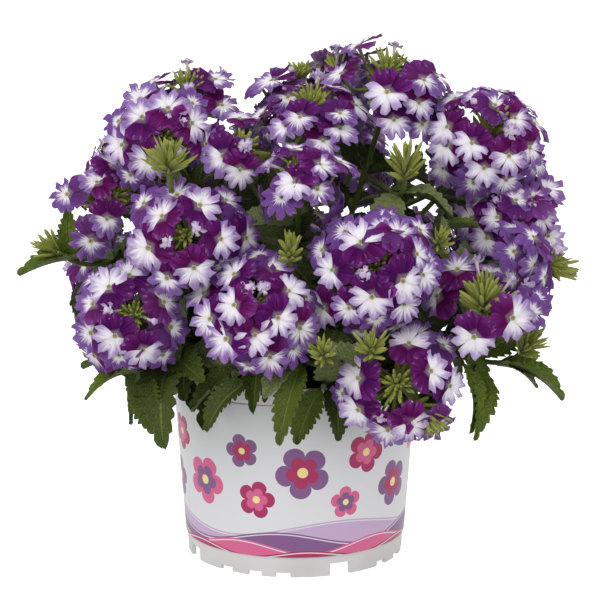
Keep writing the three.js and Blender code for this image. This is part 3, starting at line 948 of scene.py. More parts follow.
def compost_tree():
    """Strews crumbs over the compost's surface."""
    inputs = {
        "Crumbs": ("Collection", None),
        "Crumbs Per Square Metre": ("Float", 90000.0),
        "Size Spread": ("Float", 0.5),
        "Top Height": ("Float", 0.088),
        "Finish": ("Material", None),
        "Seed": ("Int", 3),
    }
    tree, given, result = geometry_group("Strew Crumbs", inputs)
    seed, height = given["Seed"], split(wire(tree, "GeometryNodeInputPosition"))[2]
    surface = {
        "Mesh": given["Geometry"],
        "Selection": maths("GREATER_THAN", height, given["Top Height"] - 3 * MM),
        "Density": given["Crumbs Per Square Metre"],
        "Seed": seed,
    }
    points = wire(tree, "GeometryNodeDistributePointsOnFaces", surface)
    angles = {0: (0, 0, 0), 1: (WHOLE_TURN, WHOLE_TURN, WHOLE_TURN), "Seed": seed}
    turn = wire(tree, "FunctionNodeRandomValue", angles, data_type="FLOAT_VECTOR")
    strewn = set_out(points, given["Crumbs"], turn, random_sizes(given["Size Spread"], seed))
    fill(result, {0: finished(join(given["Geometry"], strewn), given["Finish"])})
    return tree


# ---- finishes ----


def petal_finish(look):
    """Velvety petals: dark ones and white ones, streaked along their length, which turn lilac at
    the tips and violet with age. The dark petals' plum streaks are partly a painted sheen."""
    material, tree, shader = new_material("petals")
    along, across, kind = attribute(tree, "petal")
    age, tint, number = attribute(tree, "tone")
    dark, folded = (maths("COMPARE", kind, value, 0.5) for value in (DARK_PETAL, FOLDED_PETAL))

    def streaks(fineness, offset):
        sideways, lengthwise = across * fineness + number * offset, along * 0.9 + kind * 5.3
        inputs = {0: sideways, 1: lengthwise, 2: number * 17.0}
        return fade(noise(wire(tree, "ShaderNodeCombineXYZ", inputs), 1.0, 2.0, 0.6), 0.3, 0.7)

    broad, fine = streaks(3.2, 41.0), streaks(9.0, 23.0)

    reach = along + (broad - 0.5) * 0.34 + across**2.0 * 0.22
    tip = mix(fade(age, 0.0, 0.75), look.lilac, look.violet)
    blush = fade(reach, 0.4 - age * 0.36, 1.08 - age * 0.68) * fade(age, 0.0, 0.4, 0.8, 1.0)
    pale = mix(fine * (fade(along, 0.15, 0.7) * 0.34), mix(blush, look.white, tip), tip)

    # Broad plum streaks, stronger towards the tips: lighter veins, and partly a painted violet
    # sheen.
    glow = (broad * fade(along, 0.1, 0.9)) ** 1.6 * fade(tint, 0.0, 1.0, 0.3, 0.75)
    redness = broad * 0.5 + fade(tint, 0.15, 0.85) * 0.6
    velvet = mix(glow, mix(redness, look.dark, look.wine), look.plum)
    velvet = mix(fine * fade(along, 0.15, 0.8, 0.1, 0.34), velvet, look.plum)
    faded = fade(age, 0.45, 0.95) * fade(along, 0.0, 0.5, 0.3, 1.0)
    velvet = mix(faded * 0.75, velvet, look.violet)

    hue = mix(dark, pale, velvet)
    hue = mix(fade(along, 0.26, 0.1) * fade(dark, 0.0, 1.0, 1.0, 0.15), hue, look.white)
    hue = mix(fade(along, 0.07, 0.0), hue, look.eye)
    hue = mix(fade(along, -0.04, -0.1), hue, look.throat)
    hue = mix(fade(along, -0.5, -0.9), hue, look.tube)
    knob = mix(fade(along, 0.35, 0.8) * (fine * 0.6), look.unopened, look.lilac)
    knob = mix(fade(along, 0.9, 1.0, 0.0, 0.7), knob, look.violet)
    hue = mix(folded, hue, mix(fade(along, 0.15, 0.0), knob, look.tube))
    hue = mix(under_skin(tree) * fade(dark, 0.0, 1.0, 0.6, 0.5), hue, look.lilac)
    fill(
        shader,
        {
            "Base Color": hue, "Roughness": 0.7, "Specular IOR Level": 0.06,
            "Subsurface Weight": 0.3, "Subsurface Scale": 1.2 * MM,
            "Subsurface Radius": (1.0, 0.9, 1.0),
        },
    )
    bump(shader, broad + fine * 0.5, 0.25 * MM, 0.6)
    return material


def green_finish(look):
    """Calyces and bracts: hairy ribbed green, darker at the base and lighter at the tips."""
    material, tree, shader = new_material("calyx_green")
    along, rib, _ = attribute(tree, "rib")
    speck = noise(object_place(tree), 900.0)
    hue = mix(attribute(tree, "tone")[0], look.bud_dark, look.bud)
    hue = mix(rib * 0.45, hue, look.bud_pale)
    hue = mix(fade(speck, 0.4, 0.75, 0.0, 0.35), hue, look.bud_dark)
    hue = mix(fade(along, 0.45, 0.0), hue, look.bud_dark)
    hue = mix(fade(along, 0.88, 1.0) * 0.4, hue, look.bud_pale)
    skin = {"Roughness": 0.55, "Specular IOR Level": 0.4, "Sheen Weight": 0.15}
    fill(shader, {"Base Color": hue, **skin})
    bump(shader, speck, 0.2 * MM, 0.5)
    return material


def leaf_finish(look):
    """Leaves: bright when young, dark when old, with sunken veins and a lighter underside.
    The leaves inside the mound are lightened with painted light.
    """
    material, tree, shader = new_material("leaf_green")
    along, across, _ = attribute(tree, "blade")
    shade, painted_light, _ = attribute(tree, "tone")
    place, side = object_place(tree), abs(across)
    midrib = fade(side, 0.02, 0.1, 1.0, 0.0)
    phase = abs(maths("FRACT", along * LATERALS - side * LATERAL_SLANT) - 0.5)
    lateral = fade(phase, 0.1, 0.0) * fade(side, 0.95, 0.6)
    cells = {"Vector": place, "Scale": 480.0}
    cells = wire(tree, "ShaderNodeTexVoronoi", cells, "Distance", feature="DISTANCE_TO_EDGE")
    net = fade(cells, 0.0, 0.16, 1.0, 0.0)
    hue = mix(shade, look.leaf_dark, look.leaf_young)
    # Painted light: leaves inside the mound are mixed towards a pale grey-green, as though more
    # light reached them.
    hue = mix(painted_light, hue, look.inner_leaf_painted_light)
    hue = mix(fade(noise(place, 160.0, 3.0), 0.35, 0.7, 0.0, 0.4), hue, look.leaf_mid)
    hue = mix(net * 0.14, hue, look.leaf_vein)
    hue = mix(maths("MAXIMUM", midrib * 0.6, lateral * 0.32), hue, look.leaf_vein)
    hue = mix(under_skin(tree) * 0.55, hue, look.leaf_under)
    fill(shader, {"Base Color": hue, "Roughness": 0.5, "Specular IOR Level": 0.26})
    puffs, veins = noise(place, 420.0), maths("MAXIMUM", midrib, lateral)
    bump(shader, puffs * 0.5 - veins * 0.8 - net * 0.45, 0.8 * MM, 0.8)
    return material


def stem_finish(look):
    """Square stems: green, darker low down, with fine hairs."""
    material, tree, shader = new_material("stem_green")
    place = object_place(tree)
    hue = mix(fade(split(place)[2], 0.1, 0.16), look.leaf_dark, look.stem)
    speck = noise(place, 700.0, 3.0)
    hue = mix(fade(speck, 0.4, 0.7, 0.0, 0.4), hue, look.leaf_mid)
    fill(shader, {"Base Color": hue, "Roughness": 0.5})
    bump(shader, speck, 0.2 * MM, 0.5)
    return material


def compost_finish(look):
    """Dark fibrous compost."""
    material, tree, shader = new_material("compost")
    place = object_place(tree)
    grain, fibre = noise(place, 300.0, 5.0, 0.7), noise(place, 1100.0, 3.0)
    hue = mix(fade(grain, 0.35, 0.7), look.compost, look.compost_light)
    fill(shader, {"Base Color": hue, "Roughness": 0.93, "Specular IOR Level": 0.25})
    bump(shader, grain + fibre, 0.8 * MM, 0.8)
    return material


def plastic_finish(look):
    """White moulded plastic with a satin skin, darker towards the foot."""
    material, tree, shader = new_material("pot_plastic")
    place = object_place(tree)
    cloud = noise(place, 30.0, 3.0)
    hue = mix(fade(cloud, 0.35, 0.7, 0.0, 0.3), look.plastic, look.plastic_shade)
    # Darker towards the foot: the lowest twelve millimetres are mixed towards Plastic Shade.
    foot_darkening = fade(split(place)[2], 0.012, 0.0) * fade(cloud, 0.35, 0.65, 0.1, 0.5)
    hue = mix(foot_darkening, hue, look.plastic_shade)
    fill(shader, {"Base Color": hue, "Roughness": fade(cloud, 0.3, 0.7, 0.36, 0.46)})
    bump(shader, noise(place, 1400.0), 0.05 * MM, 0.35)
    return material


def blossom_group():
    """Draws one five-petalled blossom over a colour."""
    inputs = {name: ("Vector", None) for name in ("Place", "Middle")}
    inputs.update({name: ("Float", None) for name in ("Reach", "Turn")})
    inputs.update({name: ("Color", None) for name in ("Petal", "Inner", "Heart", "Under")})
    tree, given, result = new_group("Blossom", "ShaderNodeTree", inputs, "Color")
    offset = {0: given["Place"], 1: given["Middle"]}
    offset = wire(tree, "ShaderNodeVectorMath", offset, operation="SUBTRACT")
    distance = wire(tree, "ShaderNodeVectorMath", {0: offset}, "Value", operation="LENGTH")
    x, y, _ = split(offset)
    angle = maths("ARCTAN2", y, x) + given["Turn"]
    lobe = abs(maths("COSINE", angle * (PRINTED_PETALS / 2))) ** 0.5
    share = distance / (given["Reach"] * (lobe * 0.42 + 0.58))
    colour = mix(fade(share, 1.0, 0.985), given["Under"], given["Petal"])
    colour = mix(fade(share, 0.62, 0.6), colour, given["Inner"])
    colour = mix(fade(distance / given["Reach"], 0.2, 0.185), colour, given["Heart"])
    fill(result, {0: colour})
    return tree


def sleeve_finish(look):
    """Glossy white film with a print of blossoms above layered ribbons."""
    material, tree, shader = new_material("sleeve_film")
    uv = {0: wire(tree, "ShaderNodeUVMap", uv_map=PRINT_MAP), "Scale": PRINT_UNIT}
    place = wire(tree, "ShaderNodeVectorMath", uv, operation="SCALE")
    colour, blossom = look.film, blossom_group()
    inks = (look.ink_pink, look.ink_purple, look.ink_magenta)
    for left, up, reach, turn, ink in BLOSSOMS:
        inputs = {
            "Place": place, "Middle": (left, up, 0), "Reach": reach, "Turn": math.radians(turn),
            "Petal": inks[ink], "Inner": inks[(ink + 1) % len(inks)], "Heart": look.ink_heart,
            "Under": colour,
        }
        colour = wire(tree, "ShaderNodeGroup", inputs, node_tree=blossom)
    x, y, _ = split(place)
    girth = math.pi * (SLEEVE_FOOT + SLEEVE_HEAD)
    inks = (look.ink_lilac, look.ink_purple, look.ink_pink, look.ink_magenta)
    for (middle, swing, waves, start), ink in zip(RIBBONS, inks):
        wave = maths("SINE", x * (2 * math.pi * waves / girth) + start)
        above = y - (wave * swing + middle)
        colour = mix(fade(above, 0.1, -0.1), colour, ink)
        colour = mix(fade(abs(above + 1.1), 0.35, 0.2), colour, look.film)
    fill(shader, {"Base Color": colour, "Roughness": 0.32, "Coat Weight": 0.15})
    bump(shader, noise(object_place(tree), 22.0), 0.8 * MM, 0.15)
    return material


# ---- the pot ----


def turned_body(outline, sides):
    """A closed body of revolution from (radius, height) points that start and end on the axis
    or close on themselves."""
    work = bmesh.new()
    loops = []
    for radius, height in outline:
        if radius == 0:
            loops.append([work.verts.new((0, 0, height * MM))] * sides)
            continue
        loop = []
        for k in range(sides):
            a = 2 * math.pi * k / sides
            place = (radius * MM * math.sin(a), -radius * MM * math.cos(a), height * MM)
            loop.append(work.verts.new(place))
        loops.append(loop)
    closed = outline[0][0] != 0
    pairs = list(zip(loops, loops[1:])) + ([(loops[-1], loops[0])] if closed else [])
    for low, high in pairs:
        for k in range(sides):
            n = (k + 1) % sides
            corners = without_repeats([low[k], low[n], high[n], high[k]])
            if len(corners) > 2:
                work.faces.new(corners)
    bmesh.ops.recalc_face_normals(work, faces=work.faces)
    return mesh_of(work, "turned")


def rounded(outline, corners, steps):
    """The outline with the corners at these numbers rounded to these radii."""
    points = []
    for i, corner in enumerate(outline):
        radius = corners.get(i)
        here = Vector(corner)
        if not radius:
            points.append(tuple(here))
            continue
        before = (Vector(outline[i - 1]) - here).normalized() * radius
        after = (Vector(outline[(i + 1) % len(outline)]) - here).normalized() * radius
        for k in range(steps + 1):
            t = k / steps
            points.append(tuple(here + before * (1 - t) ** 2 + after * t * t))
    return points


def wall_radius(height, inside=False):
    """The pot's wall, which lies just inside the sleeve."""
    lean = (SLEEVE_HEAD - SLEEVE_FOOT) / (SLEEVE_TOP - SLEEVE_BOTTOM)
    sleeve = SLEEVE_FOOT + lean * (height - SLEEVE_BOTTOM)
    return sleeve - SLEEVE_GAP - (WALL if inside else 0)


def cutters():
    """The shapes cut out of the pot: foot notches and drain holes."""
    work = bmesh.new()
    for azimuths, width, height in (LARGE_NOTCHES, SMALL_NOTCHES):
        for azimuth in azimuths:
            place = facing(azimuth, 0) * FOOT_RADIUS
            turn = Matrix.Translation(place * MM) @ Matrix.Rotation(math.radians(azimuth), 4, "Z")
            size = Matrix.Diagonal((width * MM, NOTCH_DEPTH * MM, 2 * height * MM, 1))
            bmesh.ops.create_cube(work, size=1, matrix=turn @ size)
    for x, y, radius in DRAINS:
        bmesh.ops.create_cone(
            work, cap_ends=True, segments=32, radius1=radius * MM, radius2=radius * MM,
            depth=DRAIN_DEPTH * MM,
            matrix=Matrix.Translation((x * MM, y * MM, FLOOR_HEIGHT * MM)),
        )
    return mesh_of(work, "cutters")


def bevelled(owner, width):
    """The object's mesh with its sharp edges softened."""
    modifier = owner.modifiers.new("Soft Edges", "BEVEL")
    modifier.width, modifier.segments, modifier.limit_method = width * MM, 2, "ANGLE"
    modifier.angle_limit = math.radians(BEVELLED_FROM)
    graph = bpy.context.evaluated_depsgraph_get()
    return bpy.data.meshes.new_from_object(owner.evaluated_get(graph))


def smooth(mesh):
    """Shades a mesh smooth up to its sharp edges."""
    mesh.shade_smooth()
    mesh.set_sharp_from_angle(angle=math.radians(SHARPEST_SMOOTH))


# ---- where the plant's parts are ----


def end_of(name):
    """Where a stem ends and the way it points there, in millimetres."""
    table = {"H": HEADS, "B": BUDS, "T": TIPS}[name[0]]
    x, y, z, azimuth, elevation = table[int(name[1:]) - 1][:5]
    way = facing(azimuth, elevation)
    return Vector((x, y, z)) - GAP * way, way


class Stem:
    """A stem's curve: it leaves its foot one way and arrives at its end another. The bends are
    the shares of its span over which it keeps those two ways."""

    def __init__(self, foot, away, end, bends):
        place, way = end_of(end)
        leave, arrive = bends
        span = (foot - place).length
        self.points = (foot, foot + away * span * leave, place - way * span * arrive, place)

    def at(self, t):
        a, b, c, d = self.points
        s = 1 - t
        return a * s**3 + b * 3 * s * s * t + c * 3 * s * t * t + d * t**3

    def way(self, t):
        a, b, c, d = self.points
        s = 1 - t
        return ((b - a) * 3 * s * s + (c - b) * 6 * s * t + (d - c) * 3 * t * t).normalized()


def stems_of(shoot):
    """The main stem and the branches of a shoot."""
    ring, azimuth, main, sides = shoot
    foot = facing(azimuth, 0) * ring + Vector((0, 0, STEM_FOOT))
    trunk = Stem(foot, UP, main, TRUNK_BENDS)
    return [trunk] + [Stem(trunk.at(t), trunk.way(t), end, BRANCH_BENDS) for end, t in sides]


def pair_tips(stem, share, turn, size):
    """The tips of a pair of leaves."""
    base, way = stem.at(share), stem.way(share)
    flat = way.cross(UP)
    flat = flat.normalized() if flat.length >= 0.2 else Vector((1, 0, 0))
    flat = Matrix.Rotation(math.radians(turn), 3, way) @ flat
    lift = math.radians(LEAF_LIFT)
    ways = [side * flat * math.cos(lift) + way * math.sin(lift) for side in (1, -1)]
    return [base + out * LEAF_LENGTH * size - UP * LEAF_DROOP * size for out in ways]


def in_a_head(place, margin):
    """Whether a point lies this deep inside a flower head's dome."""
    for x, y, z, azimuth, elevation, reach, _, _ in HEADS:
        offset = place - Vector((x, y, z))
        height = offset.dot(facing(azimuth, elevation))
        if height > -DOME_SKIRT and offset.length < reach - margin:
            return True
    return False


def grown_leaves(number, stems):
    """The leaves that the frame's shoot has: base, tip, width and roll."""
    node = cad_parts[f"shoot_{number:02d}"]
    tree = KDTree(len(node.data.vertices))
    for vertex in node.data.vertices:
        tree.insert(vertex.co, vertex.index)
    tree.balance()
    leaves = []
    pairs = [(stems[0], share, 90 * k) for k, share in enumerate(PAIRS)]
    pairs += [(stem, SIDE_PAIR, 45) for stem in stems[1:]]
    for stem, share, quarter in pairs:
        for side in (0, 1):
            for size in SIZES:
                tips = [pair_tips(stem, share, quarter + turn, size)[side] for turn in TURNS]
                there = [tip for tip in tips if tree.find(tip * MM)[2] < FOUND * MM]
                if there:
                    tip = Vector((there[0].x, there[0].y, max(LOWEST_TIP, there[0].z)))
                    width = LEAF_WIDTH * size * (HANGING_WIDTH if tip.z < HANGING_TIP else 1)
                    leaves.append((stem.at(share), tip, width, 0))
                    break
    for shoot, branch, share, x, y, z, width, roll in PLACED_LEAVES:
        if shoot == number:
            leaves.append((stems[branch].at(share), Vector((x, y, z)), width, roll))
    return leaves


def inner_leaves(stems, chance, count):
    """More leaves inside the mound, where they fill the dark between the stems."""
    leaves = []
    for _ in range(count * 8):
        if len(leaves) == count:
            break
        stem = chance.choice(stems)
        share, size = chance.uniform(0.18, 0.93), chance.uniform(0.55, 0.95)
        tip = chance.choice(pair_tips(stem, share, chance.uniform(0, 180), size))
        base = stem.at(share)
        middle = (base + tip) / 2
        if kept_clear(base, middle, tip):
            continue
        if math.hypot(tip.x, tip.y) > INNER_REACH or tip.z < INNER_LOWEST:
            continue
        if in_a_head(tip, -HEAD_ROOM) or in_a_head(middle, 0):
            continue
        leaves.append((base, tip, LEAF_WIDTH * size))
    return leaves


def skirt_leaves():
    """Leaves that hang over the pot's rim, for each shoot: base, tip and width."""
    chance = random.Random(77)
    low, high = SKIRT_FOOT_HEIGHTS
    nodes = []
    for number, shoot in enumerate(SHOOTS, 1):
        for stem in stems_of(shoot):
            for place in (stem.at(0.1 + 0.04 * k) for k in range(20)):
                if low < place.z < high and math.hypot(place.x, place.y) < SKIRT_FOOT_REACH:
                    nodes.append((number, place))
    leaves = {number: [] for number in range(1, len(SHOOTS) + 1)}
    for k in range(SKIRT_COUNT):
        way = facing(360 * (k + chance.uniform(-0.3, 0.3)) / SKIRT_COUNT, 0)
        tip = way * chance.uniform(70, 80) + UP * chance.uniform(84, 101)

        def misfit(node):
            offset = tip - node[1]
            along = offset.dot(way)
            return abs(along - 30) + abs(offset.cross(way).dot(UP)) * 0.8

        if kept_clear(tip):
            continue
        number, base = min(nodes, key=misfit)
        leaves[number].append((base, tip, LEAF_WIDTH * chance.uniform(0.62, 0.9)))
    return leaves


def add_leaf(sites, base, tip, width, shade, kind, chance, roll=0.0, painted_light=0.0):
    """Sets a leaf out from base to tip, with its upper side turned up and away from the plant."""
    along = tip - base
    length = along.length
    along.normalize()
    away = Vector((tip.x, tip.y, 0)).normalized()
    across = along.cross(UP + away * LEAF_FACING)
    if across.length < 0.25:
        across = along.cross(away)
    across = Matrix.Rotation(math.radians(roll), 3, along) @ across.normalized()
    out = across.cross(along)
    stretch = (width / 2 * MM, length * MM, length * MM)
    sites.add(base, across, along, out, stretch, kind, (shade, painted_light, chance.random()))


def across_of(way, turn=0.0):
    """Two directions square to this one, turned round it."""
    side = way.cross(UP)
    side = side.normalized() if side.length > 0.05 else Vector((1, 0, 0))
    side = Matrix.Rotation(turn, 3, way) @ side
    return side, way.cross(side)


def dome_way(axis, right, up, tilt, turn):
    """The direction that is tilted away from the axis and turned round it."""
    return axis * math.cos(tilt) + (right * math.cos(turn) + up * math.sin(turn)) * math.sin(tilt)


def add_green(sites, start, end, width, kind, shade, chance):
    """Sets a calyx, bract or stalk out from start to end."""
    way = end - start
    stretch = (width, width, way.length / GREEN_LENGTH)
    way.normalize()
    side, other = across_of(way, chance.uniform(0, ANY_TURN))
    tone = (shade, chance.random(), chance.random())
    sites.add(start, side, other, way, stretch, kind, tone)


def add_folded(sites, place, way, sizes, chance):
    """Sets an unopened flower out."""
    side, other = across_of(way, chance.uniform(0, ANY_TURN))
    size = chance.uniform(*sizes)
    tone = (0.1, chance.random(), chance.random())
    kind = FRESH_SHAPES + OLD_SHAPES + chance.randrange(UNOPENED_SHAPES)
    sites.add(place, side, other, way, (size, size, size), kind, tone)


def head_frame(number):
    """A flower head's foot, the way its flowers face, and two directions square to that."""
    x, y, z, azimuth, elevation = HEADS[number - 1][:5]
    axis = facing(*TURNED.get(number, (azimuth, elevation))[:2])
    return Vector((x, y, z)), axis, *across_of(axis)


def flower_way(number, way, share=1.0):
    """The way that a flower faces which stands in this direction from its head's foot."""
    usual = NEAR_FLATNESS if number in OPEN_IN_FRAME else FAR_FLATNESS
    flatness = TURNED.get(number, (0, 0, usual))[2] * share
    return (way + head_frame(number)[1] * flatness).normalized()


def inward_of(number, out):
    """The way from a flower's eye towards the middle of its head, where its dark petals are."""
    axis = head_frame(number)[1]
    return (axis - out * axis.dot(out)).normalized()


def seen_on_dome(number, across, down):
    """Where the camera's ray through this place in its frame meets a head's dome."""
    foot = head_frame(number)[0]
    radius = HEADS[number - 1][5] * DOME
    pitch = math.radians(CAMERA_PITCH)
    forward = Vector((0, math.cos(pitch), -math.sin(pitch)))
    up = Vector((0, math.sin(pitch), math.cos(pitch)))
    focus = CAMERA_LENS / SENSOR * FRAME
    ray = forward * focus + Vector((across - FRAME / 2, 0, 0)) - up * (down - FRAME / 2)
    ray.normalize()
    start = Vector(CAMERA_PLACE) / MM
    nearest = start + ray * (foot - start).dot(ray)
    miss = (nearest - foot).length
    if miss < radius:
        return nearest - ray * math.sqrt(radius**2 - miss**2)
    return foot + (nearest - foot) * min(1, REACH_OUT * radius / miss)


def in_frame(place):
    """Where the camera sees a place: pixels across and down."""
    pitch = math.radians(CAMERA_PITCH)
    offset = place - Vector(CAMERA_PLACE) / MM
    depth = offset.y * math.cos(pitch) - offset.z * math.sin(pitch)
    height = offset.y * math.sin(pitch) + offset.z * math.cos(pitch)
    focus = CAMERA_LENS / SENSOR * FRAME
    return FRAME / 2 + focus * offset.x / depth, FRAME / 2 - focus * height / depth


def kept_clear(*places):
    """Whether one of these places lies in a part of the frame that stays clear."""
    seen = [in_frame(place) for place in places]
    return any(
        left < x < right and top < y < bottom
        for x, y in seen
        for left, top, right, bottom in CLEAR_IN_FRAME
    )


def placed_flowers(number):
    """A head's flowers that have their own place in the frame: eye, the way it faces and age."""
    foot = head_frame(number)[0]
    flowers = []
    for across, down, age in OPEN_IN_FRAME.get(number, ()):
        eye = seen_on_dome(number, across, down)
        flowers.append((eye, flower_way(number, (eye - foot).normalized()), age))
    return flowers


def ring_flowers(number, chance):
    """A head's rings of flowers: ring, eye, its way from the foot, the way it faces and age."""
    reach, lean, age = HEADS[number - 1][5:]
    foot, axis, right, up = head_frame(number)
    start = chance.uniform(0, 360)
    for ring, (further, raised, older, flat) in enumerate(RINGS):
        tilt, distance = lean + further, reach * raised
        count = round(2 * math.pi * distance * math.sin(math.radians(tilt)) / FLOWER_SPACING)
        for k in range(count):
            t = math.radians(tilt + chance.uniform(-3, 3))
            a = math.radians(start + 360 * (k + 0.5 * ring) / count + chance.uniform(-7, 7))
            way = dome_way(axis, right, up, t, a)
            eye = foot + way * (distance + chance.uniform(-2.2, 1.4))
            for _ in range(DRAWN_IN):
                if number not in OPEN_IN_FRAME and kept_clear(eye, eye + way * PETAL_REACH):
                    eye -= way * DRAWN_STEP
            years = age * 0.7 + older + chance.uniform(-0.15, 0.15)
            yield ring, eye, way, flower_way(number, way, flat), min(1.0, max(0.0, years))


def flower_places():
    """Every open flower of every head: eye, the way it faces and age."""
    toward_camera = (Vector(CAMERA_PLACE) / MM - UP * MOUND_MIDDLE).normalized()
    places = {number: placed_flowers(number) for number in range(1, len(HEADS) + 1)}
    placed = [(number, eye, out) for number, flowers in places.items() for eye, out, _ in flowers]
    taken = [eye for _, eye, _ in placed]
    collars = [eye + inward_of(number, out) * COLLAR for number, eye, out in placed]
    for number, flowers in places.items():
        chance = random.Random(100 + number)
        for ring, eye, way, out, age in ring_flowers(number, chance):
            if number in OPEN_IN_FRAME and out.dot(toward_camera) > FACES_CAMERA:
                if ring == 0 or number in LOOSE:
                    continue
                if any((eye - collar).length < COLLAR_ROOM for collar in collars):
                    continue
                age = chance.uniform(0.5, 0.95)
            if any((eye - other).length < FLOWER_ROOM for other in taken):
                continue
            if kept_clear(eye, eye + way * PETAL_REACH):
                continue
            if ring > 1 and way.dot(Vector((eye.x, eye.y, 0)).normalized()) < FACES_INWARDS:
                continue
            flowers.append((eye, out, age))
            taken.append(eye)
    return places


def add_flower(flowers, greens, number, flower, chance):
    """Sets an open flower out, and the calyx that holds its tube."""
    eye, out, age = flower
    foot, axis = head_frame(number)[:2]
    wobble = Vector([chance.uniform(-1, 1) for _ in range(3)]) * 0.15
    out = (out + wobble).normalized()
    inward = inward_of(number, out)
    inward = Matrix.Rotation(math.radians(chance.uniform(-14, 14)), 3, out) @ inward
    first, shapes = (0, FRESH_SHAPES) if age < AGED else (FRESH_SHAPES, OLD_SHAPES)
    kind = first + chance.randrange(shapes)
    size = chance.uniform(0.86, 1.08)
    tone = (age, chance.random(), chance.random())
    flowers.add(eye, inward.cross(out), inward, out, (size, size, size), kind, tone)
    start, end = foot + axis * chance.uniform(2, 6), eye - out * TUBE_LENGTH * size + out * 2.5
    kind, shade = chance.randrange(CALYX_SHAPES), chance.uniform(0.2, 0.8)
    add_green(greens, start, end, 1.0, kind, shade, chance)


def add_collar(greens, number, chance):
    """Sets out the ring of bracts under a head's flowers."""
    foot, axis, right, up = head_frame(number)
    for k in range(COLLAR_BRACTS):
        turn, tilt = 2 * math.pi * k / COLLAR_BRACTS, math.radians(chance.uniform(48, 84))
        way = dome_way(axis, right, up, tilt, turn)
        kind = CALYX_SHAPES + chance.randrange(BRACT_SHAPES)
        end, shade = foot + way * chance.uniform(12, 17), chance.uniform(0.0, 0.3)
        add_green(greens, foot, end, 2.5, kind, shade, chance)


def add_middle(flowers, greens, number, chance):
    """Sets out a head's stalk and, in its middle, unopened flowers, tufts and calyces."""
    reach, lean = HEADS[number - 1][5:7]
    foot, axis, right, up = head_frame(number)
    crown = foot + axis * reach * (0.3 + lean * 0.0055)
    add_green(greens, foot - axis * GAP, crown, 1.1, STALK_KIND, 0.6, chance)
    seen = [seen_on_dome(number, *place) for place in FOLDED_IN_FRAME.get(number, ())]
    for tip in seen:
        way = (tip - crown).normalized()
        add_folded(flowers, tip, way, (0.8, 0.98), chance)
        kind = chance.randrange(CALYX_SHAPES)
        add_green(greens, crown - way, tip - way * 5, 0.9, kind, 0.7, chance)
    for head, x, y, z, azimuth, elevation, height, radius in TUFTS:
        if head == number:
            start = foot + Vector((x, y, z))
            add_tuft(greens, start, facing(azimuth, elevation), height, radius, chance)
    count = 0 if number in OPEN_MIDDLED else round(lean * 0.8)
    lengths = (10, 15) if number in LONG_MIDDLED else (7.5, 11)
    for k in range(count):
        share = (k + 0.5) / count
        tilt = math.radians(lean * 1.5 * share**0.6 + chance.uniform(-7, 7))
        way = dome_way(axis, right, up, tilt, SPIRAL * k + chance.uniform(-0.3, 0.3))
        tip = crown + way * chance.uniform(*lengths)
        if any((tip - other).length < FOLDED_ROOM for other in seen):
            continue
        width, kind = chance.uniform(0.8, 1.1), chance.randrange(CALYX_SHAPES)
        add_green(greens, crown - axis * 1.5, tip, width, kind, chance.uniform(0.55, 1.0), chance)
        if not seen and k >= count - 4 and chance.random() < 0.5:
            add_folded(flowers, tip + way * 2.5, way, (0.85, 1.1), chance)


def head_sites(number, places):
    """Where a head's flowers and its green parts are."""
    chance = random.Random(200 + number)
    flowers, greens = Sites(), Sites()
    for flower in places:
        add_flower(flowers, greens, number, flower, chance)
    add_collar(greens, number, chance)
    add_middle(flowers, greens, number, chance)
    return flowers.make(f"flower_sites_{number}"), greens.make(f"green_sites_{number}")


def add_tuft(greens, foot, axis, height, radius, chance):
    """Sets out a dense tuft of calyces and pointed bracts."""
    right, up = across_of(axis)
    count = round(8 + 2.3 * radius)
    for k in range(count):
        share = (k + 0.5) / count
        tilt = math.radians(60 * (1 - share) ** 0.75 + chance.uniform(-7, 7))
        way = dome_way(axis, right, up, tilt, SPIRAL * k + chance.uniform(-0.3, 0.3))
        start = foot + axis * height * TUFT_RISE * share
        upwards = height * (1 - TUFT_RISE * share) / max(0.3, math.cos(tilt))
        sideways = radius / max(0.1, math.sin(tilt))
        length = min(upwards, sideways, LONGEST_GREEN) * chance.uniform(0.8, 1.0)
        pointed = chance.random() < 0.5
        first, shapes = (CALYX_SHAPES, BRACT_SHAPES) if pointed else (0, CALYX_SHAPES)
        kind = first + chance.randrange(shapes)
        width = (0.9 + 0.2 * (1 - share)) * (1 + 0.02 * (height - 18))
        shade = chance.uniform(0.4, 1.0)
        add_green(greens, start, start + way * length, width, kind, shade, chance)


def bud_sites(number):
    """Where the calyces and bracts of a bud cluster are."""
    x, y, z, azimuth, elevation, height, radius = BUDS[number - 1]
    chance = random.Random(300 + number)
    greens = Sites()
    foot, axis = Vector((x, y, z)), facing(azimuth, elevation)
    crown = foot + axis * height * 0.5
    add_green(greens, foot - axis * GAP, crown, 0.9, STALK_KIND, 0.5, chance)
    add_tuft(greens, foot, axis, height, radius, chance)
    return greens.make(f"bud_sites_{number}")


# ---- what a user may change ----


def length_property(label, text, value):
    """A length that a user may change, given in millimetres."""
    return bpy.props.FloatProperty(
        name=label, description=text, default=value * MM, unit="LENGTH", precision=4
    )


def colour_property(label, text, *value):
    """A colour that a user may change, given from 0 to 255."""
    return bpy.props.FloatVectorProperty(
        name=label, description=text, default=srgb(*value), size=4, subtype="COLOR",
        min=0.0, max=1.0,
    )


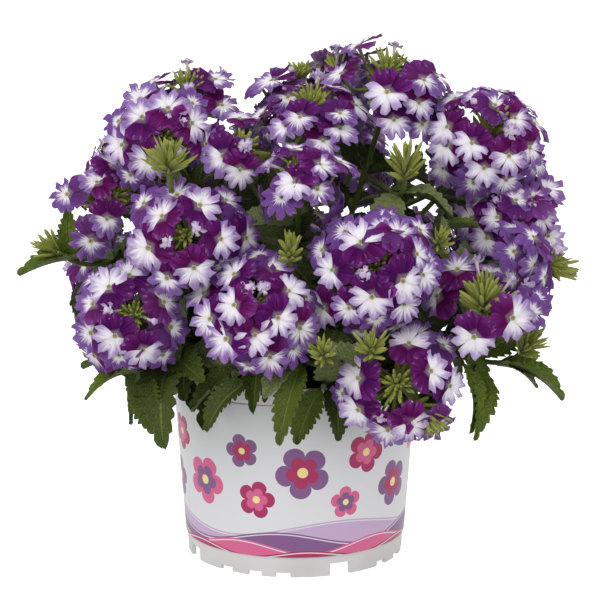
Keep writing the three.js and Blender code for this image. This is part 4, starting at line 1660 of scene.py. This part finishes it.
class VerbenaPotLook(bpy.types.PropertyGroup):
    """The pot, its sleeve and its compost."""

    edge: length_property("Edge Softness", "Rounding of the pot's moulded edges", 0.35)
    plastic: colour_property("Plastic", "Colour of the moulded pot", 214, 212, 212)
    # Plastic Shade colours random clouds on the pot and the darker band at its foot.
    plastic_shade: colour_property("Plastic Shade", "Clouding and dust on the pot", 196, 193, 191)
    film: colour_property("Film", "Unprinted film of the sleeve", 223, 223, 225)
    ink_pink: colour_property("Pink Ink", "Pink of the print", 216, 96, 143)
    ink_magenta: colour_property("Magenta Ink", "Darkest pink of the print", 172, 30, 92)
    ink_purple: colour_property("Purple Ink", "Purple of the print", 130, 84, 138)
    ink_lilac: colour_property("Lilac Ink", "Palest purple of the print", 198, 170, 205)
    ink_heart: colour_property("Heart Ink", "Middle of the printed blossoms", 244, 226, 150)
    compost: colour_property("Compost", "Wet compost", 38, 28, 20)
    compost_light: colour_property("Dry Compost", "Dry crumbs and fibres", 84, 64, 45)
    crumbs: bpy.props.FloatProperty(
        name="Crumbs", description="Crumbs on each square metre of compost", default=90000.0,
        min=0.0,
    )


class VerbenaPlantLook(bpy.types.PropertyGroup):
    """Stems and leaves."""

    stem_width: length_property("Stem Width", "Width of a main stem", 2.4)
    leaf_dark: colour_property("Old Leaf", "Oldest leaves, inside the mound", 54, 64, 28)
    leaf_mid: colour_property("Grown Leaf", "Grown leaves", 60, 78, 22)
    leaf_young: colour_property("Young Leaf", "Youngest leaves", 96, 116, 22)
    # Inner Leaf is painted light: the pale grey-green that lifts the leaves inside the mound out of
    # their shade.
    inner_leaf_painted_light: colour_property("Inner Leaf", "Leaves inside the mound", 122, 130, 86)
    leaf_vein: colour_property("Leaf Vein", "Veins of a leaf", 126, 140, 72)
    leaf_under: colour_property("Leaf Underside", "Lower side of a leaf", 98, 110, 68)
    stem: colour_property("Stem", "Young stems", 92, 104, 40)
    inner: bpy.props.IntProperty(
        name="Inner Leaves", description="Leaves added inside the mound on each shoot",
        default=10, min=0,
    )


class VerbenaFlowerLook(bpy.types.PropertyGroup):
    """Flowers and buds."""

    white: colour_property("White Petal", "Pale petals of a fresh flower", 243, 236, 244)
    lilac: colour_property("Lilac Tip", "Tips of the pale petals", 162, 134, 194)
    violet: colour_property("Violet", "Petals of an old flower", 109, 69, 139)
    dark: colour_property("Dark Petal", "The two petals towards the head's middle", 54, 2, 72)
    wine: colour_property("Wine Petal", "The reddest of the dark petals", 84, 1, 62)
    # Plum Streak: lighter veins on the dark petals, and partly a painted violet sheen.
    plum: colour_property("Plum Streak", "Streaks on the dark petals", 120, 46, 132)
    eye: colour_property("Eye", "Ring round a flower's throat", 222, 216, 182)
    throat: colour_property("Throat", "Inside of a flower's throat", 158, 152, 96)
    tube: colour_property("Tube", "The tube below a flower", 150, 142, 120)
    unopened: colour_property("Unopened Flower", "Folded petals of a closed flower", 214, 196, 212)
    bud: colour_property("Bud", "Young calyces and buds", 158, 166, 52)
    bud_dark: colour_property("Bud Shade", "Base of the calyces", 104, 112, 36)
    bud_pale: colour_property("Bud Rib", "Ribs and hairs of the calyces", 180, 186, 108)


class VerbenaStageLook(bpy.types.PropertyGroup):
    """Floor and light."""

    floor: colour_property("Floor", "Colour of the floor", 250, 250, 250)
    floor_half: bpy.props.FloatProperty(
        name="Floor Reach", description="How far the floor goes from the pot", default=40.0,
        min=1.0, unit="LENGTH",
    )
    sky_strength: bpy.props.FloatProperty(
        name="Sky", description="Strength of the even light", default=0.76, min=0.0
    )
    key_power: bpy.props.FloatProperty(
        name="Key Light", description="Power of the lamp at the upper left", default=15.4,
        min=0.0, unit="POWER",
    )
    fill_power: bpy.props.FloatProperty(
        name="Fill Light", description="Power of the lamp at the right", default=3.0,
        min=0.0, unit="POWER",
    )
    lens: bpy.props.FloatProperty(
        name="Lens", description="Focal length of the camera", default=CAMERA_LENS,
        min=1.0, unit="CAMERA",
    )


# ---- operators ----


class VERBENA_OT_pot(bpy.types.Operator):
    """Build the moulded pot"""

    bl_idname = "verbena.pot"
    bl_label = "Pot"

    def execute(self, context):
        look = context.scene.verbena_pot
        band = POT_HEIGHT - RIM_DEPTH
        inner_foot = FOOT_RADIUS - WALL - 0.4
        outline = [
            (0, FLOOR_HEIGHT), (inner_foot, FLOOR_HEIGHT), (inner_foot, 0), (FOOT_RADIUS, 0),
            (FOOT_RADIUS + 0.4, FOOT_HEIGHT), (wall_radius(FOOT_HEIGHT), FOOT_HEIGHT),
            (wall_radius(band), band), (RIM_RADIUS - 0.5, band + 0.2), (RIM_RADIUS, POT_HEIGHT),
            (RIM_RADIUS - WALL, POT_HEIGHT), (wall_radius(band, True), band - 1),
            (wall_radius(FLOOR_HEIGHT, True), FLOOR_HEIGHT + WALL), (0, FLOOR_HEIGHT + WALL),
        ]
        outline = rounded(outline, {7: 0.5, 8: 0.7, 9: 0.6, 10: 1.5, 11: 1.5}, 4)
        body = loose_object("pot_body", turned_body(outline, TURNED_SIDES))
        cutter = loose_object("pot_cutters", cutters())
        cut = body.modifiers.new("Notches And Drains", "BOOLEAN")
        cut.operation, cut.solver, cut.object = "DIFFERENCE", "EXACT", cutter
        graph = context.evaluated_depsgraph_get()
        owner = loose_object("pot_cut", bpy.data.meshes.new_from_object(body.evaluated_get(graph)))
        mesh = bevelled(owner, look.edge / MM)
        for helper in (body, cutter, owner):
            bpy.data.objects.remove(helper)
        smooth(mesh)
        mesh.materials.clear()
        mesh.materials.append(plastic_finish(look))
        place_piece("moulded_pot", mesh, "pot_plastic", "pot")
        return {"FINISHED"}


class VERBENA_OT_sleeve(bpy.types.Operator):
    """Build the printed sleeve"""

    bl_idname = "verbena.sleeve"
    bl_label = "Printed Sleeve"

    def execute(self, context):
        look = context.scene.verbena_pot
        outline = [
            (SLEEVE_FOOT, SLEEVE_BOTTOM), (SLEEVE_HEAD, SLEEVE_TOP),
            (SLEEVE_HEAD - SLEEVE_FILM, SLEEVE_TOP), (SLEEVE_FOOT - SLEEVE_FILM, SLEEVE_BOTTOM),
        ]
        outline = rounded(outline, dict.fromkeys(range(len(outline)), 0.15), 2)
        mesh = turned_body(outline, TURNED_SIDES)
        uv = mesh.uv_layers.new(name=PRINT_MAP)
        middle = (SLEEVE_FOOT + SLEEVE_HEAD) / 2
        for face in mesh.polygons:
            places = [mesh.vertices[v].co for v in face.vertices]
            angles = [math.atan2(place.x, -place.y) for place in places]
            if max(angles) - min(angles) > math.pi:
                angles = [a if a > 0 else a + 2 * math.pi for a in angles]
            for corner, angle, place in zip(face.loop_indices, angles, places):
                uv.data[corner].uv = (angle * middle / PRINT_UNIT, place.z / MM / PRINT_UNIT)
        smooth(mesh)
        mesh.materials.append(sleeve_finish(look))
        place_piece("printed_sleeve", mesh, "sleeve_film", "label_wrap")
        return {"FINISHED"}


class VERBENA_OT_compost(bpy.types.Operator):
    """Fill the pot with compost and strew crumbs on it"""

    bl_idname = "verbena.compost"
    bl_label = "Compost"

    def execute(self, context):
        look = context.scene.verbena_pot
        low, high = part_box("soil")
        bottom, top = low.z / MM + 0.2, high.z / MM - 0.5
        foot, edge = wall_radius(bottom, True), wall_radius(top, True)
        outline = [(0, bottom), (foot - 1, bottom), (edge - 0.8, top)]
        outline += [(edge * k / 12, top) for k in range(11, 0, -1)] + [(0, top)]
        owner = loose_object("compost_plug", turned_body(outline, 72))
        values = {
            "Crumbs": collect("crumbs", [crumb(k) for k in range(5)]),
            "Crumbs Per Square Metre": look.crumbs,
            "Size Spread": 0.5,
            "Top Height": top * MM,
            "Finish": compost_finish(look),
            "Seed": 3,
        }
        mesh = run_tree(owner, compost_tree(), values)
        place_piece("compost", mesh, "compost", "soil")
        return {"FINISHED"}


def stem_paths(stems):
    """The curves of a shoot's stems, each thinner towards its end."""
    curve = bpy.data.curves.new("paths", "CURVE")
    curve.dimensions = "3D"
    for stem in stems:
        width = TRUNK_WIDTH if stem is stems[0] else BRANCH_WIDTH
        points = curve.splines.new("POLY").points
        points.add(STEM_STEPS)
        for i, point in enumerate(points):
            share = i / STEM_STEPS
            point.co = (*(stem.at(share) * MM), 1)
            point.radius = width * (1 - STEM_TAPER * share)
    return curve


class VERBENA_OT_shoots(bpy.types.Operator):
    """Grow the stems and leaves"""

    bl_idname = "verbena.shoots"
    bl_label = "Stems and Leaves"

    def execute(self, context):
        look = context.scene.verbena_plant
        leaves = collect("leaf_shapes", leaf_shapes())
        stem_green, leaf_green, tree = stem_finish(look), leaf_finish(look), shoot_tree()
        skirts = skirt_leaves()
        for number, shoot in enumerate(SHOOTS, 1):
            chance = random.Random(500 + number)
            stems = stems_of(shoot)
            paths = loose_object("paths", stem_paths(stems))
            sites = Sites()
            for base, tip, width, roll in grown_leaves(number, stems):
                outer = (math.hypot(tip.x, tip.y) - 70) / 60
                small = 1 - width / LEAF_WIDTH
                shade = min(1.0, max(0.0, outer * 0.75 + small * 0.5 + chance.uniform(-0.3, 0.25)))
                kind = chance.randrange(FINE_LEAVES)
                add_leaf(sites, base, tip, width, shade, kind, chance, roll)
            for base, tip, width in skirts[number]:
                shade, kind = chance.uniform(0.0, 0.3), chance.randrange(FINE_LEAVES)
                add_leaf(sites, base, tip, width, shade, kind, chance)
            for base, tip, width in inner_leaves(stems, chance, look.inner):
                kind, shade = FINE_LEAVES + chance.randrange(PLAIN_LEAVES), chance.uniform(0.1, 0.6)
                # The leaves inside the mound get the painted light.
                add_leaf(sites, base, tip, width, shade, kind, chance, painted_light=0.85)
            values = {
                "Paths": paths, "Stem Width": look.stem_width, "Stem Finish": stem_green,
                "Leaves": leaves, "Leaf Finish": leaf_green, "Size Spread": 0.0, "Seed": number,
            }
            mesh = run_tree(sites.make("leaf_sites"), tree, values)
            bpy.data.objects.remove(paths)
            node = f"shoot_{number:02d}"
            place_piece(f"leafy_{node}", mesh, "leaf_green", node)
        return {"FINISHED"}


class VERBENA_OT_heads(bpy.types.Operator):
    """Open the flower heads"""

    bl_idname = "verbena.heads"
    bl_label = "Flower Heads"

    def execute(self, context):
        look = context.scene.verbena_flower
        shapes = [floret(k, 0.2) for k in range(FRESH_SHAPES)]
        shapes += [floret(20 + k, 1.0) for k in range(OLD_SHAPES)]
        shapes += [unopened(40 + k) for k in range(UNOPENED_SHAPES)]
        flowers = collect("flower_shapes", shapes)
        greens = green_shapes("head_greens")
        petals, green, tree = petal_finish(look), green_finish(look), set_out_tree()
        for number, places in flower_places().items():
            flower_owner, green_owner = head_sites(number, places)
            values = {"Shapes": flowers, "Finish": petals, "Size Spread": 0.04, "Seed": number}
            mesh = run_tree(flower_owner, tree, values)
            place_piece(f"petals_{number:02d}", mesh, "petals", f"flower_head_{number:02d}")
            values.update({"Shapes": greens, "Finish": green})
            mesh = run_tree(green_owner, tree, values)
            place_piece(f"calyces_{number:02d}", mesh, "bud_green")
        return {"FINISHED"}


def green_shapes(name):
    """Calyces, then bracts, then the stalk, in the order that their kinds count."""
    shapes = [calyx(60 + k) for k in range(CALYX_SHAPES)]
    shapes += [bract(80 + k) for k in range(BRACT_SHAPES)]
    return collect(name, shapes + [rachis()])


class VERBENA_OT_buds(bpy.types.Operator):
    """Grow the bud clusters"""

    bl_idname = "verbena.buds"
    bl_label = "Bud Clusters"

    def execute(self, context):
        look = context.scene.verbena_flower
        greens, green, tree = green_shapes("bud_greens"), green_finish(look), set_out_tree()
        for number in range(1, len(BUDS) + 1):
            values = {"Shapes": greens, "Finish": green, "Size Spread": 0.05, "Seed": number}
            mesh = run_tree(bud_sites(number), tree, values)
            place_piece(f"buds_{number:02d}", mesh, "bud_green", f"bud_cluster_{number:02d}")
        return {"FINISHED"}


class VERBENA_OT_stage(bpy.types.Operator):
    """Set the floor, the lights and the camera"""

    bl_idname = "verbena.stage"
    bl_label = "Stage"

    def execute(self, context):
        look = context.scene.verbena_stage
        scene = context.scene
        mesh = bpy.data.meshes.new("floor")
        half = look.floor_half
        corners = [(-half, -half, 0), (half, -half, 0), (half, half, 0), (-half, half, 0)]
        mesh.from_pydata(corners, [], [(0, 1, 2, 3)])
        floor = loose_object("floor", mesh)
        material, _, shader = new_material("floor")
        white = (1, 1, 1, 1)
        glow = {"Emission Color": white, "Emission Strength": 0.6}
        fill(shader, {"Base Color": look.floor, "Roughness": 0.9, **glow})
        mesh.materials.append(material)
        # The floor is lit on its own and throws no light back up.
        floor.visible_diffuse = floor.visible_glossy = False
        floor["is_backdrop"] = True
        world = bpy.data.worlds.new("studio")
        world.use_nodes = True
        background = world.node_tree.nodes["Background"]
        fill(background, {"Color": white, "Strength": look.sky_strength})
        scene.world = world
        for name, place, size, power in (
            ("key", (-0.75, -1.12, 1.3), 1.6, look.key_power),
            ("fill", (1.3, -0.9, 0.7), 1.2, look.fill_power),
        ):
            lamp = bpy.data.lights.new(name, "AREA")
            lamp.size, lamp.energy = size, power
            made = loose_object(name, lamp)
            made.location = place
            aim = Vector((0, 0, 0.15)) - Vector(place)
            made.rotation_euler = aim.to_track_quat("-Z", "Y").to_euler()
        camera = bpy.data.cameras.new("camera")
        camera.lens, camera.sensor_width = look.lens, SENSOR
        camera.clip_start, camera.clip_end = 0.01, 200
        made = loose_object("camera", camera)
        made.location = CAMERA_PLACE
        made.rotation_euler = (math.radians(90 - CAMERA_PITCH), 0, 0)
        scene.camera = made
        scene.view_settings.view_transform = "Standard"
        return {"FINISHED"}


class VERBENA_PT_panel(bpy.types.Panel):
    """Lists the pieces of the potted verbena."""

    bl_idname = "VERBENA_PT_panel"
    bl_label = "Potted Verbena"
    bl_space_type = "VIEW_3D"
    bl_region_type = "UI"
    bl_category = "Verbena"

    def draw(self, context):
        for operator in OPERATORS:
            self.layout.operator(operator.bl_idname)
        for name in LOOKS:
            box = self.layout.box()
            look = getattr(context.scene, name)
            for key in look.__annotations__:
                box.prop(look, key)


OPERATORS = (
    VERBENA_OT_pot,
    VERBENA_OT_sleeve,
    VERBENA_OT_compost,
    VERBENA_OT_shoots,
    VERBENA_OT_heads,
    VERBENA_OT_buds,
    VERBENA_OT_stage,
)
LOOKS = {
    "verbena_pot": VerbenaPotLook,
    "verbena_plant": VerbenaPlantLook,
    "verbena_flower": VerbenaFlowerLook,
    "verbena_stage": VerbenaStageLook,
}


def register():
    for kind in (*LOOKS.values(), *OPERATORS, VERBENA_PT_panel):
        bpy.utils.register_class(kind)
    for name, kind in LOOKS.items():
        setattr(bpy.types.Scene, name, bpy.props.PointerProperty(type=kind))


def unregister():
    for name in LOOKS:
        delattr(bpy.types.Scene, name)
    for kind in reversed((*LOOKS.values(), *OPERATORS, VERBENA_PT_panel)):
        bpy.utils.unregister_class(kind)


def main():
    register()
    bpy.ops.verbena.pot()
    bpy.ops.verbena.sleeve()
    bpy.ops.verbena.compost()
    bpy.ops.verbena.shoots()
    bpy.ops.verbena.heads()
    bpy.ops.verbena.buds()
    bpy.ops.verbena.stage()
    boxes = {"cad": CAD_BOX, "visual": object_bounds()}
    {name: [list(corner) for corner in box] for name, box in boxes.items()}


if __name__ == "__main__":
    main()
